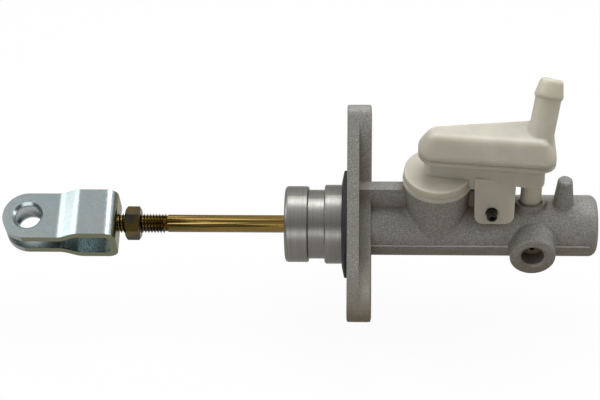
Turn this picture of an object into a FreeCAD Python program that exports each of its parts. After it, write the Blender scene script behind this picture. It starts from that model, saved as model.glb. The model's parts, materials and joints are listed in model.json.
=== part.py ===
"""Clutch master cylinder: cast body, push rod with fork end, piston set and nylon reservoir adapter.

Millimetres, +Z up. The bore runs along +X from the push rod to the closed end. The origin is where the
bore's axis meets the rear face of the mounting flange, which lies against the vehicle's firewall.
"""
import FreeCAD, Part
import math
import os
import re

import Sketcher
from FreeCAD import Placement, Rotation, Vector

SIZES = {
    # Bore and the parts that run in it; a wall closes its end
    "bore_dia": 15.87,
    "bore_end": 9.4,
    "running_clear": 0.04,
    "loose_clear": 0.3,
    "press_clear": 0.02,
    # Turned nose of the casting, behind the flange
    "collar_len": 25.4,
    "collar_dia": 31.0,
    "collar_round": 1.5,
    "neck_dia": 28.1,
    "neck_rear": 15.8,
    "neck_front": 9.3,
    "spigot_dia": 32.2,
    "land_bevel": 0.5,
    "mouth_dia": 22.4,
    "mouth_depth": 8.4,
    "clip_groove_dia": 24.8,
    "clip_groove_wide": 1.4,
    # Flange, which stands askew; its pads' waist is beside the barrel
    "flange_turn": -45.0,
    "plate_thick": 4.8,
    "pad_thick": 9.6,
    "flange_top": 47.2,
    "flange_foot": 39.3,
    "flange_half": 22.6,
    "flange_corner": 4.5,
    "flange_edge": 0.9,
    "pad_band": 10.0,
    "pad_waist": 1.0,
    "pad_waist_up": 24.0,
    "pad_bend": 14.0,
    "bolt_hole_dia": 9.0,
    "bolt_inset": 11.0,
    # Barrel of the casting, as far as it reaches beyond the stub
    "barrel_dia": 24.8,
    "barrel_len": 14.0,
    "barrel_round": 3.2,
    "rib_thick": 4.9,
    "rib_top": 21.4,
    "leg_boss_root": 1.0,
    "boss_root": 1.6,
    "stub_root": 1.2,
    # Boss that the adapter stands on
    "well_x": 36.0,
    "well_top": 24.5,
    "well_top_dia": 26.6,
    "well_foot_dia": 24.0,
    "well_dia": 18.0,
    "well_depth": 9.0,
    "well_edge": 0.6,
    "inlet_dia": 4.0,
    "inlet_back": 5.6,
    "relief_dia": 1.2,
    "relief_front": 2.4,
    # Lug for the cross pin, and the boss that takes the adapter's leg, which stops above its hole's bottom
    "pin_x": 57.3,
    "pin_z": 16.2,
    "pin_dia": 4.0,
    "pin_bore_dia": 2.2,
    "pin_slot": 0.8,
    "pin_len": 27.0,
    "lug_thick": 10.4,
    "lug_round": 5.6,
    "leg_x": 73.3,
    "leg_dia": 8.4,
    "leg_foot": 0.5,
    "leg_boss_dia": 12.4,
    "leg_boss_top": 15.4,
    "leg_boss_slant": 19.0,
    "leg_hole_dia": 9.4,
    "leg_hole_depth": 4.8,
    # Outlet port, which stands just ahead of the leg's boss
    "port_x": 0.6,
    "port_face": 18.8,
    "port_dia": 18.2,
    "port_root_dia": 18.6,
    "port_edge": 0.7,
    "port_mouth_dia": 12.0,
    "port_mouth_depth": 1.0,
    "port_thread_dia": 9.2,
    "port_thread_depth": 7.4,
    "port_relief_dia": 10.2,
    "port_relief_len": 2.0,
    "seat_dia": 6.6,
    "seat_depth": 1.6,
    "seat_nose": 1.9,
    "seat_tip_dia": 3.6,
    "seat_bore_dia": 2.4,
    # Cast stub near the closed end, ahead of the leg's boss
    "stub_x": 13.1,
    "stub_top": 24.9,
    "stub_foot_dia": 9.8,
    "stub_tip_dia": 5.8,
    "stub_foot": 6.0,
    # Rubber ring behind the flange, and how much wider than the nose it is
    "ring_dia": 11.6,
    "ring_rim": 1.4,
    "ring_lip": 2.3,
    # Piston
    "piston_front": 31.0,
    "front_land": 6.0,
    "waist_dia": 10.8,
    "waist_rear": 2.6,
    "cup_groove_rear": -5.0,
    "cup_groove_front": -0.6,
    "cup_groove_dia": 10.4,
    "nose_dia": 6.0,
    "nose_len": 7.8,
    "feed_hole_dia": 1.4,
    "feed_circle_dia": 12.6,
    # Rubber cups, shim, spring and its seat
    "shim_thick": 0.4,
    "cup_base": 1.8,
    "cup_len": 4.8,
    "cup_lip": 1.3,
    "spring_seat_dia": 13.4,
    "spring_seat_thick": 0.8,
    "spring_seat_hub": 1.6,
    "wire_dia": 1.5,
    "spring_dia": 10.8,
    "spring_pitch": 5.6,
    # Stop washer and retaining ring
    "washer_thick": 1.6,
    "washer_hole_dia": 11.8,
    "clip_thick": 1.2,
    "clip_wide": 2.2,
    "clip_gap": 9.0,
    "clip_eye_dia": 4.6,
    "clip_eye_hole_dia": 1.6,
    # Push rod; its thread starts ahead of the lock nut
    "ball_dia": 12.6,
    "ball_ahead": 3.0,
    "shank_dia": 7.15,
    "thread_dia": 7.9,
    "thread_front": 10.8,
    "thread_clear": 0.05,
    "rod_tip_round": 0.8,
    # Lock nut; its front face is ahead of the fork's
    "nut_front": 9.4,
    "nut_thick": 6.2,
    "nut_flats": 12.0,
    "nut_bevel": 0.9,
    "nut_turn": -44.0,
    # Fork end, folded from thick sheet; the places along it are behind its front face
    "fork_turn": 17.5,
    "fork_sheet": 3.2,
    "fork_front": 94.0,
    "fork_wide_gap": 12.7,
    "fork_narrow_gap": 5.7,
    "fork_width": 20.7,
    "fork_step_front": 16.3,
    "fork_step_rear": 22.8,
    "fork_fold_round": 4.6,
    "fork_step_round": 7.0,
    "fork_pin_x": 36.6,
    "fork_pin_dia": 10.6,
    "fork_pin_bevel": 1.0,
    "fork_boss_dia": 12.0,
    "fork_boss_len": 3.0,
    # Nylon adapter, lower half
    "spout_dia": 12.4,
    "spout_len": 8.0,
    "spout_bore_dia": 8.6,
    "disc_dia": 28.0,
    "disc_lip": 1.5,
    "disc_step": 0.5,
    "disc_thick": 5.3,
    "shell_rear": 30.6,
    "shell_front": 77.5,
    "shell_rear_half": 3.2,
    "shell_front_half": 10.2,
    "shell_top": 38.2,
    "shell_rear_round": 2.8,
    "shell_front_round": 3.6,
    "shell_wall": 2.0,
    "rim_thick": 2.3,
    "tab_rear": 50.2,
    "tab_front": 66.4,
    "tab_taper": 0.4,
    "tab_foot": 10.4,
    "tab_thick": 2.5,
    "tab_half": 7.2,
    "tab_lean": 12.0,
    "tab_round": 3.6,
    "tab_hole_dia": 5.0,
    "web_foot": 25.0,
    "web_thick": 12.0,
    # Nylon adapter, upper half
    "rim_rear": 27.9,
    "rim_front": 81.4,
    "rim_rear_half": 7.2,
    "rim_front_half": 12.4,
    "rim_rear_round": 7.0,
    "rim_front_round": 5.6,
    "rim_edge": 1.0,
    "roof_top": 50.2,
    "roof_slope": 31.0,
    "roof_edge": 3.0,
    "spout2_x": 75.7,
    "spout2_y": 1.4,
    "spout2_lean_back": 35.0,
    "spout2_lean_front": 13.0,
    "stem_dia": 10.2,
    "stem_len": 12.4,
    "stem_sunk": 5.0,
    "barb_dia": 11.3,
    "barb_land": 1.0,
    "barb_len": 7.4,
    "barb_tip_dia": 8.8,
    "barb_tip_round": 1.8,
    "hose_bore_dia": 6.0,
    # Seal between the adapter's spout and the well
    "grommet_bite": 1.0,
    "grommet_lift": 0.9,
}

doc = FreeCAD.newDocument("clutch_master_cylinder")
sheet = doc.addObject("Spreadsheet::Sheet", "sizes")
for row, (alias, value) in enumerate(SIZES.items(), start=1):
    sheet.set("A%d" % row, alias.replace("_", " "))
    sheet.set("B%d" % row, repr(value))
    sheet.setAlias("B%d" % row, alias)
doc.recompute()


def bound(formula):
    """The formula with each size named as a cell of the sheet."""
    return re.sub(r"[a-z]\w*", lambda word: "sizes." + word[0] if word[0] in SIZES else word[0], formula)


def bind(thing, **formulas):
    """Bind properties of an object to formulas over the sheet."""
    for name, formula in formulas.items():
        thing.setExpression(name, bound(formula))


def put(thing, x="0", y="0", z="0", turn=None):
    """Place an object by formulas, and turn it if a rotation is given."""
    if turn is not None:
        thing.Placement = Placement(Vector(), turn)
    for axis, formula in (("x", x), ("y", y), ("z", z)):
        thing.setExpression("Placement.Base." + axis, bound(formula))


def new_body(label):
    body = doc.addObject("PartDesign::Body", label)
    body.Label = label
    return body


def origin_plane(body, role):
    return next(item for item in body.Origin.OriginFeatures if item.Role == role)


def new_sketch(body, name, plane, lift="0", turn=None, axis=Vector(0, 0, 1)):
    """An empty sketch on one of the body's own planes, lifted along its normal and turned."""
    sketch = body.newObject("Sketcher::SketchObject", name)
    sketch.AttachmentSupport = [(origin_plane(body, plane), "")]
    sketch.MapMode = "FlatFace"
    if turn is not None:
        sketch.AttachmentOffset = Placement(Vector(), Rotation(axis, 1.0))
        sketch.setExpression("AttachmentOffset.Rotation.Angle", bound(turn))
    sketch.setExpression("AttachmentOffset.Base.z", bound(lift))
    return sketch


def fix_point(sketch, shape_index, point_index, x, y):
    """Hold one point of a sketch at two formulas from the sketch's origin."""
    for kind, formula in (("DistanceX", x), ("DistanceY", y)):
        number = sketch.addConstraint(Sketcher.Constraint(kind, -1, 1, shape_index, point_index, 1.0))
        sketch.setExpression("Constraints[%d]" % number, bound(formula))


def outline(body, name, plane, points, **where):
    """A closed outline of straight edges through points that are pairs of formulas."""
    sketch = new_sketch(body, name, plane, **where)
    count = len(points)
    start = [Vector(SOLVER_START * math.cos(i), SOLVER_START * math.sin(i), 0)
             for i in (2 * math.pi * n / count for n in range(count))]
    for number in range(count):
        sketch.addGeometry(Part.LineSegment(start[number], start[(number + 1) % count]))
    for number, (x, y) in enumerate(points):
        sketch.addConstraint(Sketcher.Constraint("Coincident", number, 2, (number + 1) % count, 1))
        fix_point(sketch, number, 1, x, y)
    return sketch


def circles(body, name, plane, rings, **where):
    """A sketch of circles, each a centre and a diameter given as formulas."""
    sketch = new_sketch(body, name, plane, **where)
    for number, (x, y, diameter) in enumerate(rings):
        sketch.addGeometry(Part.Circle(Vector(1 + number, 1, 0), Vector(0, 0, 1), 1.0))
        fix_point(sketch, number, 3, x, y)
        size = sketch.addConstraint(Sketcher.Constraint("Diameter", number, 2.0))
        sketch.setExpression("Constraints[%d]" % size, bound(diameter))
    return sketch


def feature(body, kind, name, profile=None, **formulas):
    """A sketch-based or plain feature of a body, with its sizes bound to the sheet."""
    made = body.newObject("PartDesign::" + kind, name)
    if profile is not None:
        made.Profile = (profile, [""])
        profile.Visibility = False
    bind(made, **formulas)
    return made


def extrude(body, kind, name, profile, length, both=False, reverse=False, taper=None):
    """A pad or a pocket of a sketch, to one side or to both."""
    made = feature(body, kind, name, profile, Length=length)
    made.Midplane = both
    made.Reversed = reverse
    if taper is not None:
        bind(made, TaperAngle=taper)
    return made


def turned(body, kind, name, profile, axis="H_Axis"):
    """A revolution or a groove all round an axis of its own sketch."""
    made = feature(body, kind, name, profile)
    made.ReferenceAxis = (profile, [axis])
    made.Angle = 360.0
    return made


def primitive(body, kind, name, x="0", y="0", z="0", turn=None, **formulas):
    """An additive or subtractive round form, standing along its own axis."""
    made = feature(body, kind, name, **formulas)
    put(made, x, y, z, turn)
    return made


def finish_edges(body, kind, name, size, test):
    """A fillet or chamfer on the edges of the body so far that pass a test."""
    doc.recompute()
    base = body.Tip
    picked = ["Edge%d" % (n + 1) for n, edge in enumerate(base.Shape.Edges) if test(edge)]
    if not picked:
        raise RuntimeError("no edge found for " + name)
    made = body.newObject("PartDesign::" + kind, name)
    made.Base = (base, picked)
    bind(made, **{"Radius" if kind == "Fillet" else "Size": size})
    return made


def near(one, other, slack=0.02):
    return abs(one - other) < slack


def ring_edge(axis, place, diameter=None):
    """Test for a full circle that lies across an axis at a place, of one diameter if given."""
    def test(edge):
        box = edge.BoundBox
        low, high = getattr(box, axis + "Min"), getattr(box, axis + "Max")
        if not (near(low, place) and near(high, place) and isinstance(edge.Curve, Part.Circle)):
            return False
        return diameter is None or near(edge.Curve.Radius * 2, diameter)
    return test


def flat_edge(axis, *places):
    """Test for any edge that lies wholly at one of some places on an axis."""
    def test(edge):
        box = edge.BoundBox
        low, high = getattr(box, axis + "Min"), getattr(box, axis + "Max")
        return any(near(low, place) and near(high, place) for place in places)
    return test


ALONG_X = Rotation(Vector(0, 1, 0), 90)
TO_FRONT = Rotation(Vector(1, 0, 0), 90)
REAR_MOUTH = "(mouth_depth - collar_len)"
STUB_X = "(leg_x + stub_x)"
PORT_X = "(leg_x + port_x)"
BARREL_END = "(leg_x + stub_x + barrel_len)"
BORE_END = "(leg_x + stub_x + barrel_len - bore_end)"
PAD_WAIST = "(barrel_dia / 2 + pad_waist)"
RING_REACH = "(spigot_dia / 2 + ring_dia / 2)"
WASHER_REAR = "(" + REAR_MOUTH + " - washer_thick)"
BALL_X = "(" + REAR_MOUTH + " + ball_ahead)"
NUT_FRONT = "(nut_front - fork_front)"
NUT_REAR = "(" + NUT_FRONT + " - nut_thick)"
THREAD_FRONT = "(" + NUT_FRONT + " + thread_front)"
FORK_STEP_FRONT = "(-fork_front - fork_step_front)"
FORK_STEP_REAR = "(-fork_front - fork_step_rear)"
FORK_PIN = "(-fork_front - fork_pin_x)"
LEG_FOOT = "(leg_boss_top - leg_hole_depth + leg_foot)"
SOLVER_START = 30.0
s = type("Sizes", (), SIZES)
s.stub_place = s.leg_x + s.stub_x
s.port_place = s.leg_x + s.port_x
s.barrel_end = s.stub_place + s.barrel_len
s.pad_waist_reach = s.barrel_dia / 2 + s.pad_waist


def cylinder_body():
    """The casting: turned nose, askew flange, ribbed barrel and its bosses, then all its bores."""
    body = new_body("cylinder_body")
    profile = outline(body, "turned_outline", "XZ_Plane", [
        ("-collar_len", "0"), ("-collar_len", "collar_dia / 2"),
        ("-neck_rear", "collar_dia / 2"), ("-neck_rear", "neck_dia / 2"),
        ("-neck_front", "neck_dia / 2"), ("-neck_front", "spigot_dia / 2"),
        ("plate_thick / 2", "spigot_dia / 2"), ("plate_thick / 2", "barrel_dia / 2"),
        (BARREL_END, "barrel_dia / 2"), (BARREL_END, "0")])
    turned(body, "Revolution", "turned_form", profile)
    finish_edges(body, "Fillet", "nose_round", "collar_round", ring_edge("X", -s.collar_len))
    finish_edges(body, "Fillet", "end_round", "barrel_round", ring_edge("X", s.barrel_end))
    finish_edges(body, "Chamfer", "land_bevels", "land_bevel", lambda edge: (
        ring_edge("X", -s.neck_rear, s.collar_dia)(edge) or ring_edge("X", -s.neck_front, s.spigot_dia)(edge)))
    flange(body)
    barrel_ribs(body)
    barrel_bosses(body)
    bores(body)
    return body


def flange(body):
    """The askew mounting plate, thick at both ends and thick along the line to the barrel."""
    plate = outline(body, "plate_outline", "YZ_Plane", [
        ("-flange_half", "-flange_foot"), ("flange_half", "-flange_foot"),
        ("flange_half", "flange_top"), ("-flange_half", "flange_top")], turn="flange_turn")
    extrude(body, "Pad", "plate", plate, "plate_thick")
    pads = outline(body, "pad_outline", "YZ_Plane", [
        ("-flange_half", "-flange_foot"), ("flange_half", "-flange_foot"),
        ("flange_half", "pad_band - flange_foot"),
        (PAD_WAIST, "-pad_waist_up * 0.75"), (PAD_WAIST, "pad_waist_up * 0.75"),
        ("flange_half", "flange_top - pad_band"),
        ("flange_half", "flange_top"), ("-flange_half", "flange_top"),
        ("-flange_half", "flange_top - pad_band"),
        ("-" + PAD_WAIST, "pad_waist_up * 0.75"), ("-" + PAD_WAIST, "-pad_waist_up * 0.75"),
        ("-flange_half", "pad_band - flange_foot")], turn="flange_turn")
    extrude(body, "Pad", "pads", pads, "pad_thick")

    def pad_corner(edge):
        box = edge.BoundBox
        return near(box.XMax, s.pad_thick) and near(box.XLength, s.pad_thick - s.plate_thick) and (
            box.YLength + box.ZLength < 0.01)
    finish_edges(body, "Fillet", "pad_bends", "pad_bend", pad_corner)
    corner_reach = math.hypot(s.flange_half, s.flange_foot) - 0.5

    def outer_corner(edge):
        box = edge.BoundBox
        far = math.hypot(edge.CenterOfMass.y, edge.CenterOfMass.z) > corner_reach
        return far and box.XLength > s.pad_thick - 0.1 and box.YLength + box.ZLength < 0.01
    finish_edges(body, "Fillet", "flange_corners", "flange_corner", outer_corner)

    def outer_rim(edge):
        reach = math.hypot(edge.CenterOfMass.y, edge.CenterOfMass.z)
        return (flat_edge("X", 0.0)(edge) and reach > s.flange_half - 0.2
                or flat_edge("X", s.pad_thick)(edge) and reach > s.pad_waist_reach - 0.5)
    finish_edges(body, "Fillet", "flange_edges", "flange_edge", outer_rim)


def barrel_ribs(body):
    """The upright rib along the top of the barrel, and the lug at its end for the cross pin."""
    lug = outline(body, "lug_outline", "XZ_Plane", [
        ("pin_x - lug_round", "0"), ("pin_x + lug_round", "0"),
        ("pin_x + lug_round", "pin_z + lug_round"), ("pin_x - lug_round", "pin_z + lug_round")])
    extrude(body, "Pad", "lug", lug, "lug_thick", both=True)

    def lug_top(edge):
        box = edge.BoundBox
        return near(box.ZMin, s.pin_z + s.lug_round) and near(box.ZMax, box.ZMin) and near(box.XLength, 0)
    finish_edges(body, "Fillet", "lug_crown", "lug_round * 0.9", lug_top)
    rib = outline(body, "rib_outline", "XZ_Plane", [
        ("plate_thick / 2", "0"), ("pin_x", "0"), ("pin_x", "pin_z + pin_dia"),
        ("well_x", "rib_top"), ("plate_thick / 2", "rib_top")])
    extrude(body, "Pad", "rib", rib, "rib_thick", both=True)


def root_edge(low, high):
    """Test for a curved edge between two places along the barrel where a boss meets its round face."""
    def test(edge):
        box = edge.BoundBox
        span = edge.LastParameter - edge.FirstParameter
        points = [edge.valueAt(edge.FirstParameter + span * step / 6) for step in range(7)]
        return (box.XMin > low - 0.05 and box.XMax < high + 0.05 and box.XLength > 0.5
                and not isinstance(edge.Curve, Part.Line)
                and all(near(math.hypot(point.y, point.z), s.barrel_dia / 2) for point in points))
    return test


def barrel_bosses(body):
    """Drafted bosses for the adapter, its leg and the outlet, and the cast stub."""
    primitive(body, "AdditiveCone", "well_boss", x="well_x", Radius1="well_foot_dia / 2",
              Radius2="well_top_dia / 2", Height="well_top")
    finish_edges(body, "Fillet", "well_rim", "well_edge", ring_edge("Z", s.well_top, s.well_top_dia))
    well_reach = s.well_top_dia / 2
    finish_edges(body, "Fillet", "well_root", "boss_root", root_edge(s.well_x - well_reach, s.well_x + well_reach))
    primitive(body, "AdditiveCylinder", "leg_boss", x="leg_x", Radius="leg_boss_dia / 2",
              Height="leg_boss_top")
    leg_reach = s.leg_boss_dia / 2
    finish_edges(body, "Fillet", "leg_boss_foot", "leg_boss_root", root_edge(s.leg_x - leg_reach, s.leg_x + leg_reach))
    slant = outline(body, "leg_boss_slant_outline", "YZ_Plane", [
        ("-leg_boss_dia / 2", "leg_boss_top"), ("leg_boss_dia / 2", "leg_boss_top"),
        ("leg_boss_dia / 2", "leg_boss_top - leg_boss_dia * tan(leg_boss_slant)")], lift="leg_x")
    extrude(body, "Pocket", "leg_boss_face", slant, "leg_boss_dia + 2", both=True)
    primitive(body, "AdditiveCone", "port_boss", x=PORT_X, turn=TO_FRONT,
              Radius1="port_root_dia / 2", Radius2="port_dia / 2", Height="port_face")
    finish_edges(body, "Fillet", "port_rim", "port_edge", ring_edge("Y", -s.port_face, s.port_dia))
    port_reach = s.port_root_dia / 2
    finish_edges(body, "Fillet", "port_root", "boss_root", root_edge(s.port_place - port_reach, s.port_place + port_reach))
    primitive(body, "AdditiveCone", "stub", x=STUB_X, z="stub_foot", Radius1="stub_foot_dia / 2",
              Radius2="stub_tip_dia / 2", Height="stub_top - stub_foot")
    finish_edges(body, "Fillet", "stub_crown", "stub_tip_dia * 0.2", ring_edge("Z", s.stub_top, s.stub_tip_dia))
    stub_reach = s.stub_foot_dia / 2
    finish_edges(body, "Fillet", "stub_foot_root", "stub_root", root_edge(s.stub_place - stub_reach, s.stub_place + stub_reach))


def bores(body):
    """Everything that is drilled or bored out of the casting."""
    groove_rear = "(" + WASHER_REAR + " - clip_groove_wide)"
    inside = outline(body, "bore_outline", "XZ_Plane", [
        ("-collar_len - 1", "0"), ("-collar_len - 1", "mouth_dia / 2"),
        (groove_rear, "mouth_dia / 2"), (groove_rear, "clip_groove_dia / 2"),
        (WASHER_REAR, "clip_groove_dia / 2"), (WASHER_REAR, "mouth_dia / 2"),
        (REAR_MOUTH, "mouth_dia / 2"), (REAR_MOUTH, "bore_dia / 2"),
        (BORE_END, "bore_dia / 2"), (BORE_END, "spring_dia / 4"),
        (BORE_END + " + spring_dia / 8", "0")])
    turned(body, "Groove", "main_bore", inside)
    primitive(body, "SubtractiveCylinder", "well", x="well_x", z="well_top - well_depth",
              Radius="well_dia / 2", Height="well_depth + 1")
    primitive(body, "SubtractiveCylinder", "inlet_hole", x="well_x - inlet_back",
              Radius="inlet_dia / 2", Height="well_top")
    primitive(body, "SubtractiveCylinder", "relief_hole", x="well_x + relief_front",
              Radius="relief_dia / 2", Height="well_top")
    primitive(body, "SubtractiveCylinder", "leg_hole", x="leg_x", z="leg_boss_top - leg_hole_depth",
              Radius="leg_hole_dia / 2", Height="leg_hole_depth + 3")
    primitive(body, "SubtractiveCylinder", "pin_hole", x="pin_x", y="lug_thick", z="pin_z", turn=TO_FRONT,
              Radius="pin_dia / 2 + press_clear", Height="lug_thick * 2")
    primitive(body, "SubtractiveCylinder", "port_thread", x=PORT_X, y="port_thread_depth - port_face",
              turn=TO_FRONT, Radius="port_thread_dia / 2", Height="port_thread_depth + 1")
    primitive(body, "SubtractiveCylinder", "port_relief", x=PORT_X, y="port_thread_depth - port_face",
              turn=TO_FRONT, Radius="port_relief_dia / 2", Height="port_relief_len")
    primitive(body, "SubtractiveCone", "port_mouth", x=PORT_X, y="port_mouth_depth - port_face",
              turn=TO_FRONT, Radius1="port_thread_dia / 2", Radius2="port_mouth_dia / 2",
              Height="port_mouth_depth")
    primitive(body, "SubtractiveCylinder", "seat_hole", x=PORT_X,
              y="port_thread_depth + seat_depth - port_face", turn=TO_FRONT,
              Radius="seat_dia / 2 + press_clear", Height="seat_depth + 1")
    primitive(body, "SubtractiveCylinder", "outlet_drilling", x=PORT_X, turn=TO_FRONT,
              Radius="seat_bore_dia / 2", Height="port_face")
    bolt_holes = circles(body, "bolt_hole_circles", "YZ_Plane", [
        ("0", "flange_top - bolt_inset", "bolt_hole_dia"),
        ("0", "bolt_inset - flange_foot", "bolt_hole_dia")], lift="-1", turn="flange_turn")
    extrude(body, "Pocket", "bolt_holes", bolt_holes, "pad_thick + 2", reverse=True)


def mounting_seal():
    """The rubber ring that seals the nose of the casting against the firewall."""
    body = new_body("mounting_seal")
    profile = outline(body, "ring_outline", "XZ_Plane", [
        ("0", "spigot_dia / 2 + running_clear"), ("0", RING_REACH),
        ("-ring_rim", RING_REACH), ("-ring_lip", "spigot_dia / 2 + ring_rim"),
        ("-ring_lip", "spigot_dia / 2 + running_clear")])
    turned(body, "Revolution", "ring", profile)
    finish_edges(body, "Fillet", "ring_edge", "ring_rim * 0.35", ring_edge("X", -s.ring_rim))
    return body


def piston():
    """The turned piston, hollow at the rear for the push rod's ball, with its feed holes."""
    body = new_body("piston")
    land = "bore_dia / 2 - running_clear"
    profile = outline(body, "piston_outline", "XZ_Plane", [
        (REAR_MOUTH, "0"), (REAR_MOUTH, land),
        ("cup_groove_rear", land), ("cup_groove_rear", "cup_groove_dia / 2"),
        ("cup_groove_front", "cup_groove_dia / 2"), ("cup_groove_front", land),
        ("waist_rear", land), ("waist_rear", "waist_dia / 2"),
        ("piston_front - front_land", "waist_dia / 2"), ("piston_front - front_land", land),
        ("piston_front", land), ("piston_front", "nose_dia / 2"),
        ("piston_front + nose_len", "nose_dia / 2"), ("piston_front + nose_len", "0")])
    turned(body, "Revolution", "turned_form", profile)
    primitive(body, "SubtractiveSphere", "ball_socket", x=BALL_X, Radius="ball_dia / 2 + loose_clear")
    primitive(body, "SubtractiveCylinder", "socket_mouth", x=REAR_MOUTH + " - 1", turn=ALONG_X,
              Radius="ball_dia / 2 + loose_clear", Height="ball_ahead + 1")
    hole = primitive(body, "SubtractiveCylinder", "feed_hole", x="piston_front - front_land - 1",
                     z="feed_circle_dia / 2", turn=ALONG_X, Radius="feed_hole_dia / 2",
                     Height="front_land + 2")
    doc.recompute()
    holes = body.newObject("PartDesign::PolarPattern", "feed_holes")
    holes.Originals = [hole]
    holes.Axis = (next(item for item in body.Origin.OriginFeatures if item.Role == "X_Axis"), [""])
    holes.Angle = 360.0
    holes.Occurrences = 6
    body.Tip = holes
    return body


def ring_piece(label, points, axis="H_Axis"):
    """A sub-part that is one revolved outline about the bore's axis."""
    body = new_body(label)
    profile = outline(body, label + "_outline", "XZ_Plane", points)
    turned(body, "Revolution", label + "_form", profile, axis)
    return body


def piston_set():
    """The rubber cups, the shim and the spring's seat, which all ride on the piston."""
    bore = "bore_dia / 2 - running_clear / 2"
    cup_rear = "(piston_front + shim_thick)"
    cup_front = "(piston_front + shim_thick + cup_len)"
    hub = "nose_dia / 2 + running_clear"
    seat_rear = cup_front
    ring_piece("cup_shim", [
        ("piston_front", hub), ("piston_front", "bore_dia / 2 - loose_clear"),
        (cup_rear, "bore_dia / 2 - loose_clear"), (cup_rear, hub)])
    ring_piece("primary_cup", [
        (cup_rear, hub), (cup_rear, "bore_dia / 2 - loose_clear"), (cup_front, bore),
        (cup_front, bore + " - cup_lip * 0.6"), (cup_rear + " + cup_base", "bore_dia / 2 - cup_lip * 1.6"),
        (cup_rear + " + cup_base", "nose_dia / 2 + cup_lip"), (cup_front, "nose_dia / 2 + cup_lip"),
        (cup_front, hub)])
    ring_piece("secondary_cup", [
        ("cup_groove_rear + running_clear", "cup_groove_dia / 2 + running_clear"),
        ("cup_groove_rear + running_clear", "bore_dia / 2 - loose_clear"),
        ("cup_groove_front - loose_clear", bore),
        ("cup_groove_front - loose_clear", bore + " - cup_lip * 0.5"),
        ("cup_groove_rear + cup_base", "bore_dia / 2 - cup_lip"),
        ("cup_groove_rear + cup_base", "cup_groove_dia / 2 + cup_lip * 0.6"),
        ("cup_groove_front - loose_clear", "cup_groove_dia / 2 + running_clear")])
    ring_piece("spring_seat", [
        (seat_rear, hub), (seat_rear, "spring_seat_dia / 2"),
        (seat_rear + " + spring_seat_thick", "spring_seat_dia / 2"),
        (seat_rear + " + spring_seat_thick", hub + " + spring_seat_thick"),
        (seat_rear + " + spring_seat_hub", hub + " + spring_seat_thick"),
        (seat_rear + " + spring_seat_hub", hub)])


def return_spring():
    """The coil spring between its seat on the piston and the closed end of the bore."""
    body = new_body("return_spring")
    rear = "(piston_front + shim_thick + cup_len + spring_seat_thick)"
    wire = circles(body, "wire_section", "XZ_Plane", [
        (rear + " + wire_dia / 2", "spring_dia / 2", "wire_dia")])
    coil = feature(body, "AdditiveHelix", "coil", wire)
    coil.ReferenceAxis = (wire, ["H_Axis"])
    coil.Mode = "pitch-height-angle"
    bind(coil, Pitch="spring_pitch", Height=BORE_END + " - wire_dia - " + rear)
    return body


def stop_washer():
    return ring_piece("stop_washer", [
        (WASHER_REAR, "washer_hole_dia / 2"), (WASHER_REAR, "mouth_dia / 2 - running_clear"),
        (REAR_MOUTH, "mouth_dia / 2 - running_clear"), (REAR_MOUTH, "washer_hole_dia / 2")])


def snap_ring():
    """The retaining ring: an open ring with two eyes for the pliers."""
    body = new_body("snap_ring")
    outer = "(clip_groove_dia / 2 - loose_clear)"
    rings = circles(body, "ring_circles", "YZ_Plane", [
        ("0", "0", outer + " * 2"), ("0", "0", "(" + outer + " - clip_wide) * 2")],
        lift=WASHER_REAR + " - clip_thick")
    extrude(body, "Pad", "ring", rings, "clip_thick")
    gap = outline(body, "gap_outline", "YZ_Plane", [
        ("-clip_gap / 2", "-mouth_dia"), ("clip_gap / 2", "-mouth_dia"),
        ("clip_gap / 2", "0"), ("-clip_gap / 2", "0")], lift=WASHER_REAR + " - clip_thick - 1")
    extrude(body, "Pocket", "gap", gap, "clip_thick + 2", reverse=True)
    eye_y = "(clip_gap / 2 + clip_eye_dia * 0.3)"
    eye_reach = "(mouth_dia / 2 - clip_eye_dia / 2 - loose_clear)"
    eye_z = "-sqrt(" + eye_reach + " ^ 2 - " + eye_y + " ^ 2)"
    for side, sign in (("left", "-"), ("right", "")):
        primitive(body, "AdditiveCylinder", side + "_eye", x=WASHER_REAR + " - clip_thick",
                  y=sign + eye_y, z=eye_z, turn=ALONG_X, Radius="clip_eye_dia / 2", Height="clip_thick")
    for side, sign in (("left", "-"), ("right", "")):
        primitive(body, "SubtractiveCylinder", side + "_eye_hole", x=WASHER_REAR + " - clip_thick - 1",
                  y=sign + eye_y, z=eye_z, turn=ALONG_X, Radius="clip_eye_hole_dia / 2",
                  Height="clip_thick + 2")
    return body


def push_rod():
    """The rod: ball head, plain shank and a threaded end, whose tip is bevelled."""
    body = new_body("push_rod")
    tip = "-(fork_front + fork_sheet + fork_boss_len + 1)"
    profile = outline(body, "rod_outline", "XZ_Plane", [
        (tip, "0"), (tip, "thread_dia / 2 - rod_tip_round"),
        (tip + " + rod_tip_round", "thread_dia / 2"), (THREAD_FRONT, "thread_dia / 2"),
        (THREAD_FRONT, "shank_dia / 2"), (BALL_X, "shank_dia / 2"), (BALL_X, "0")])
    turned(body, "Revolution", "rod", profile)
    primitive(body, "AdditiveSphere", "ball", x=BALL_X, Radius="ball_dia / 2")
    return body


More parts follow.
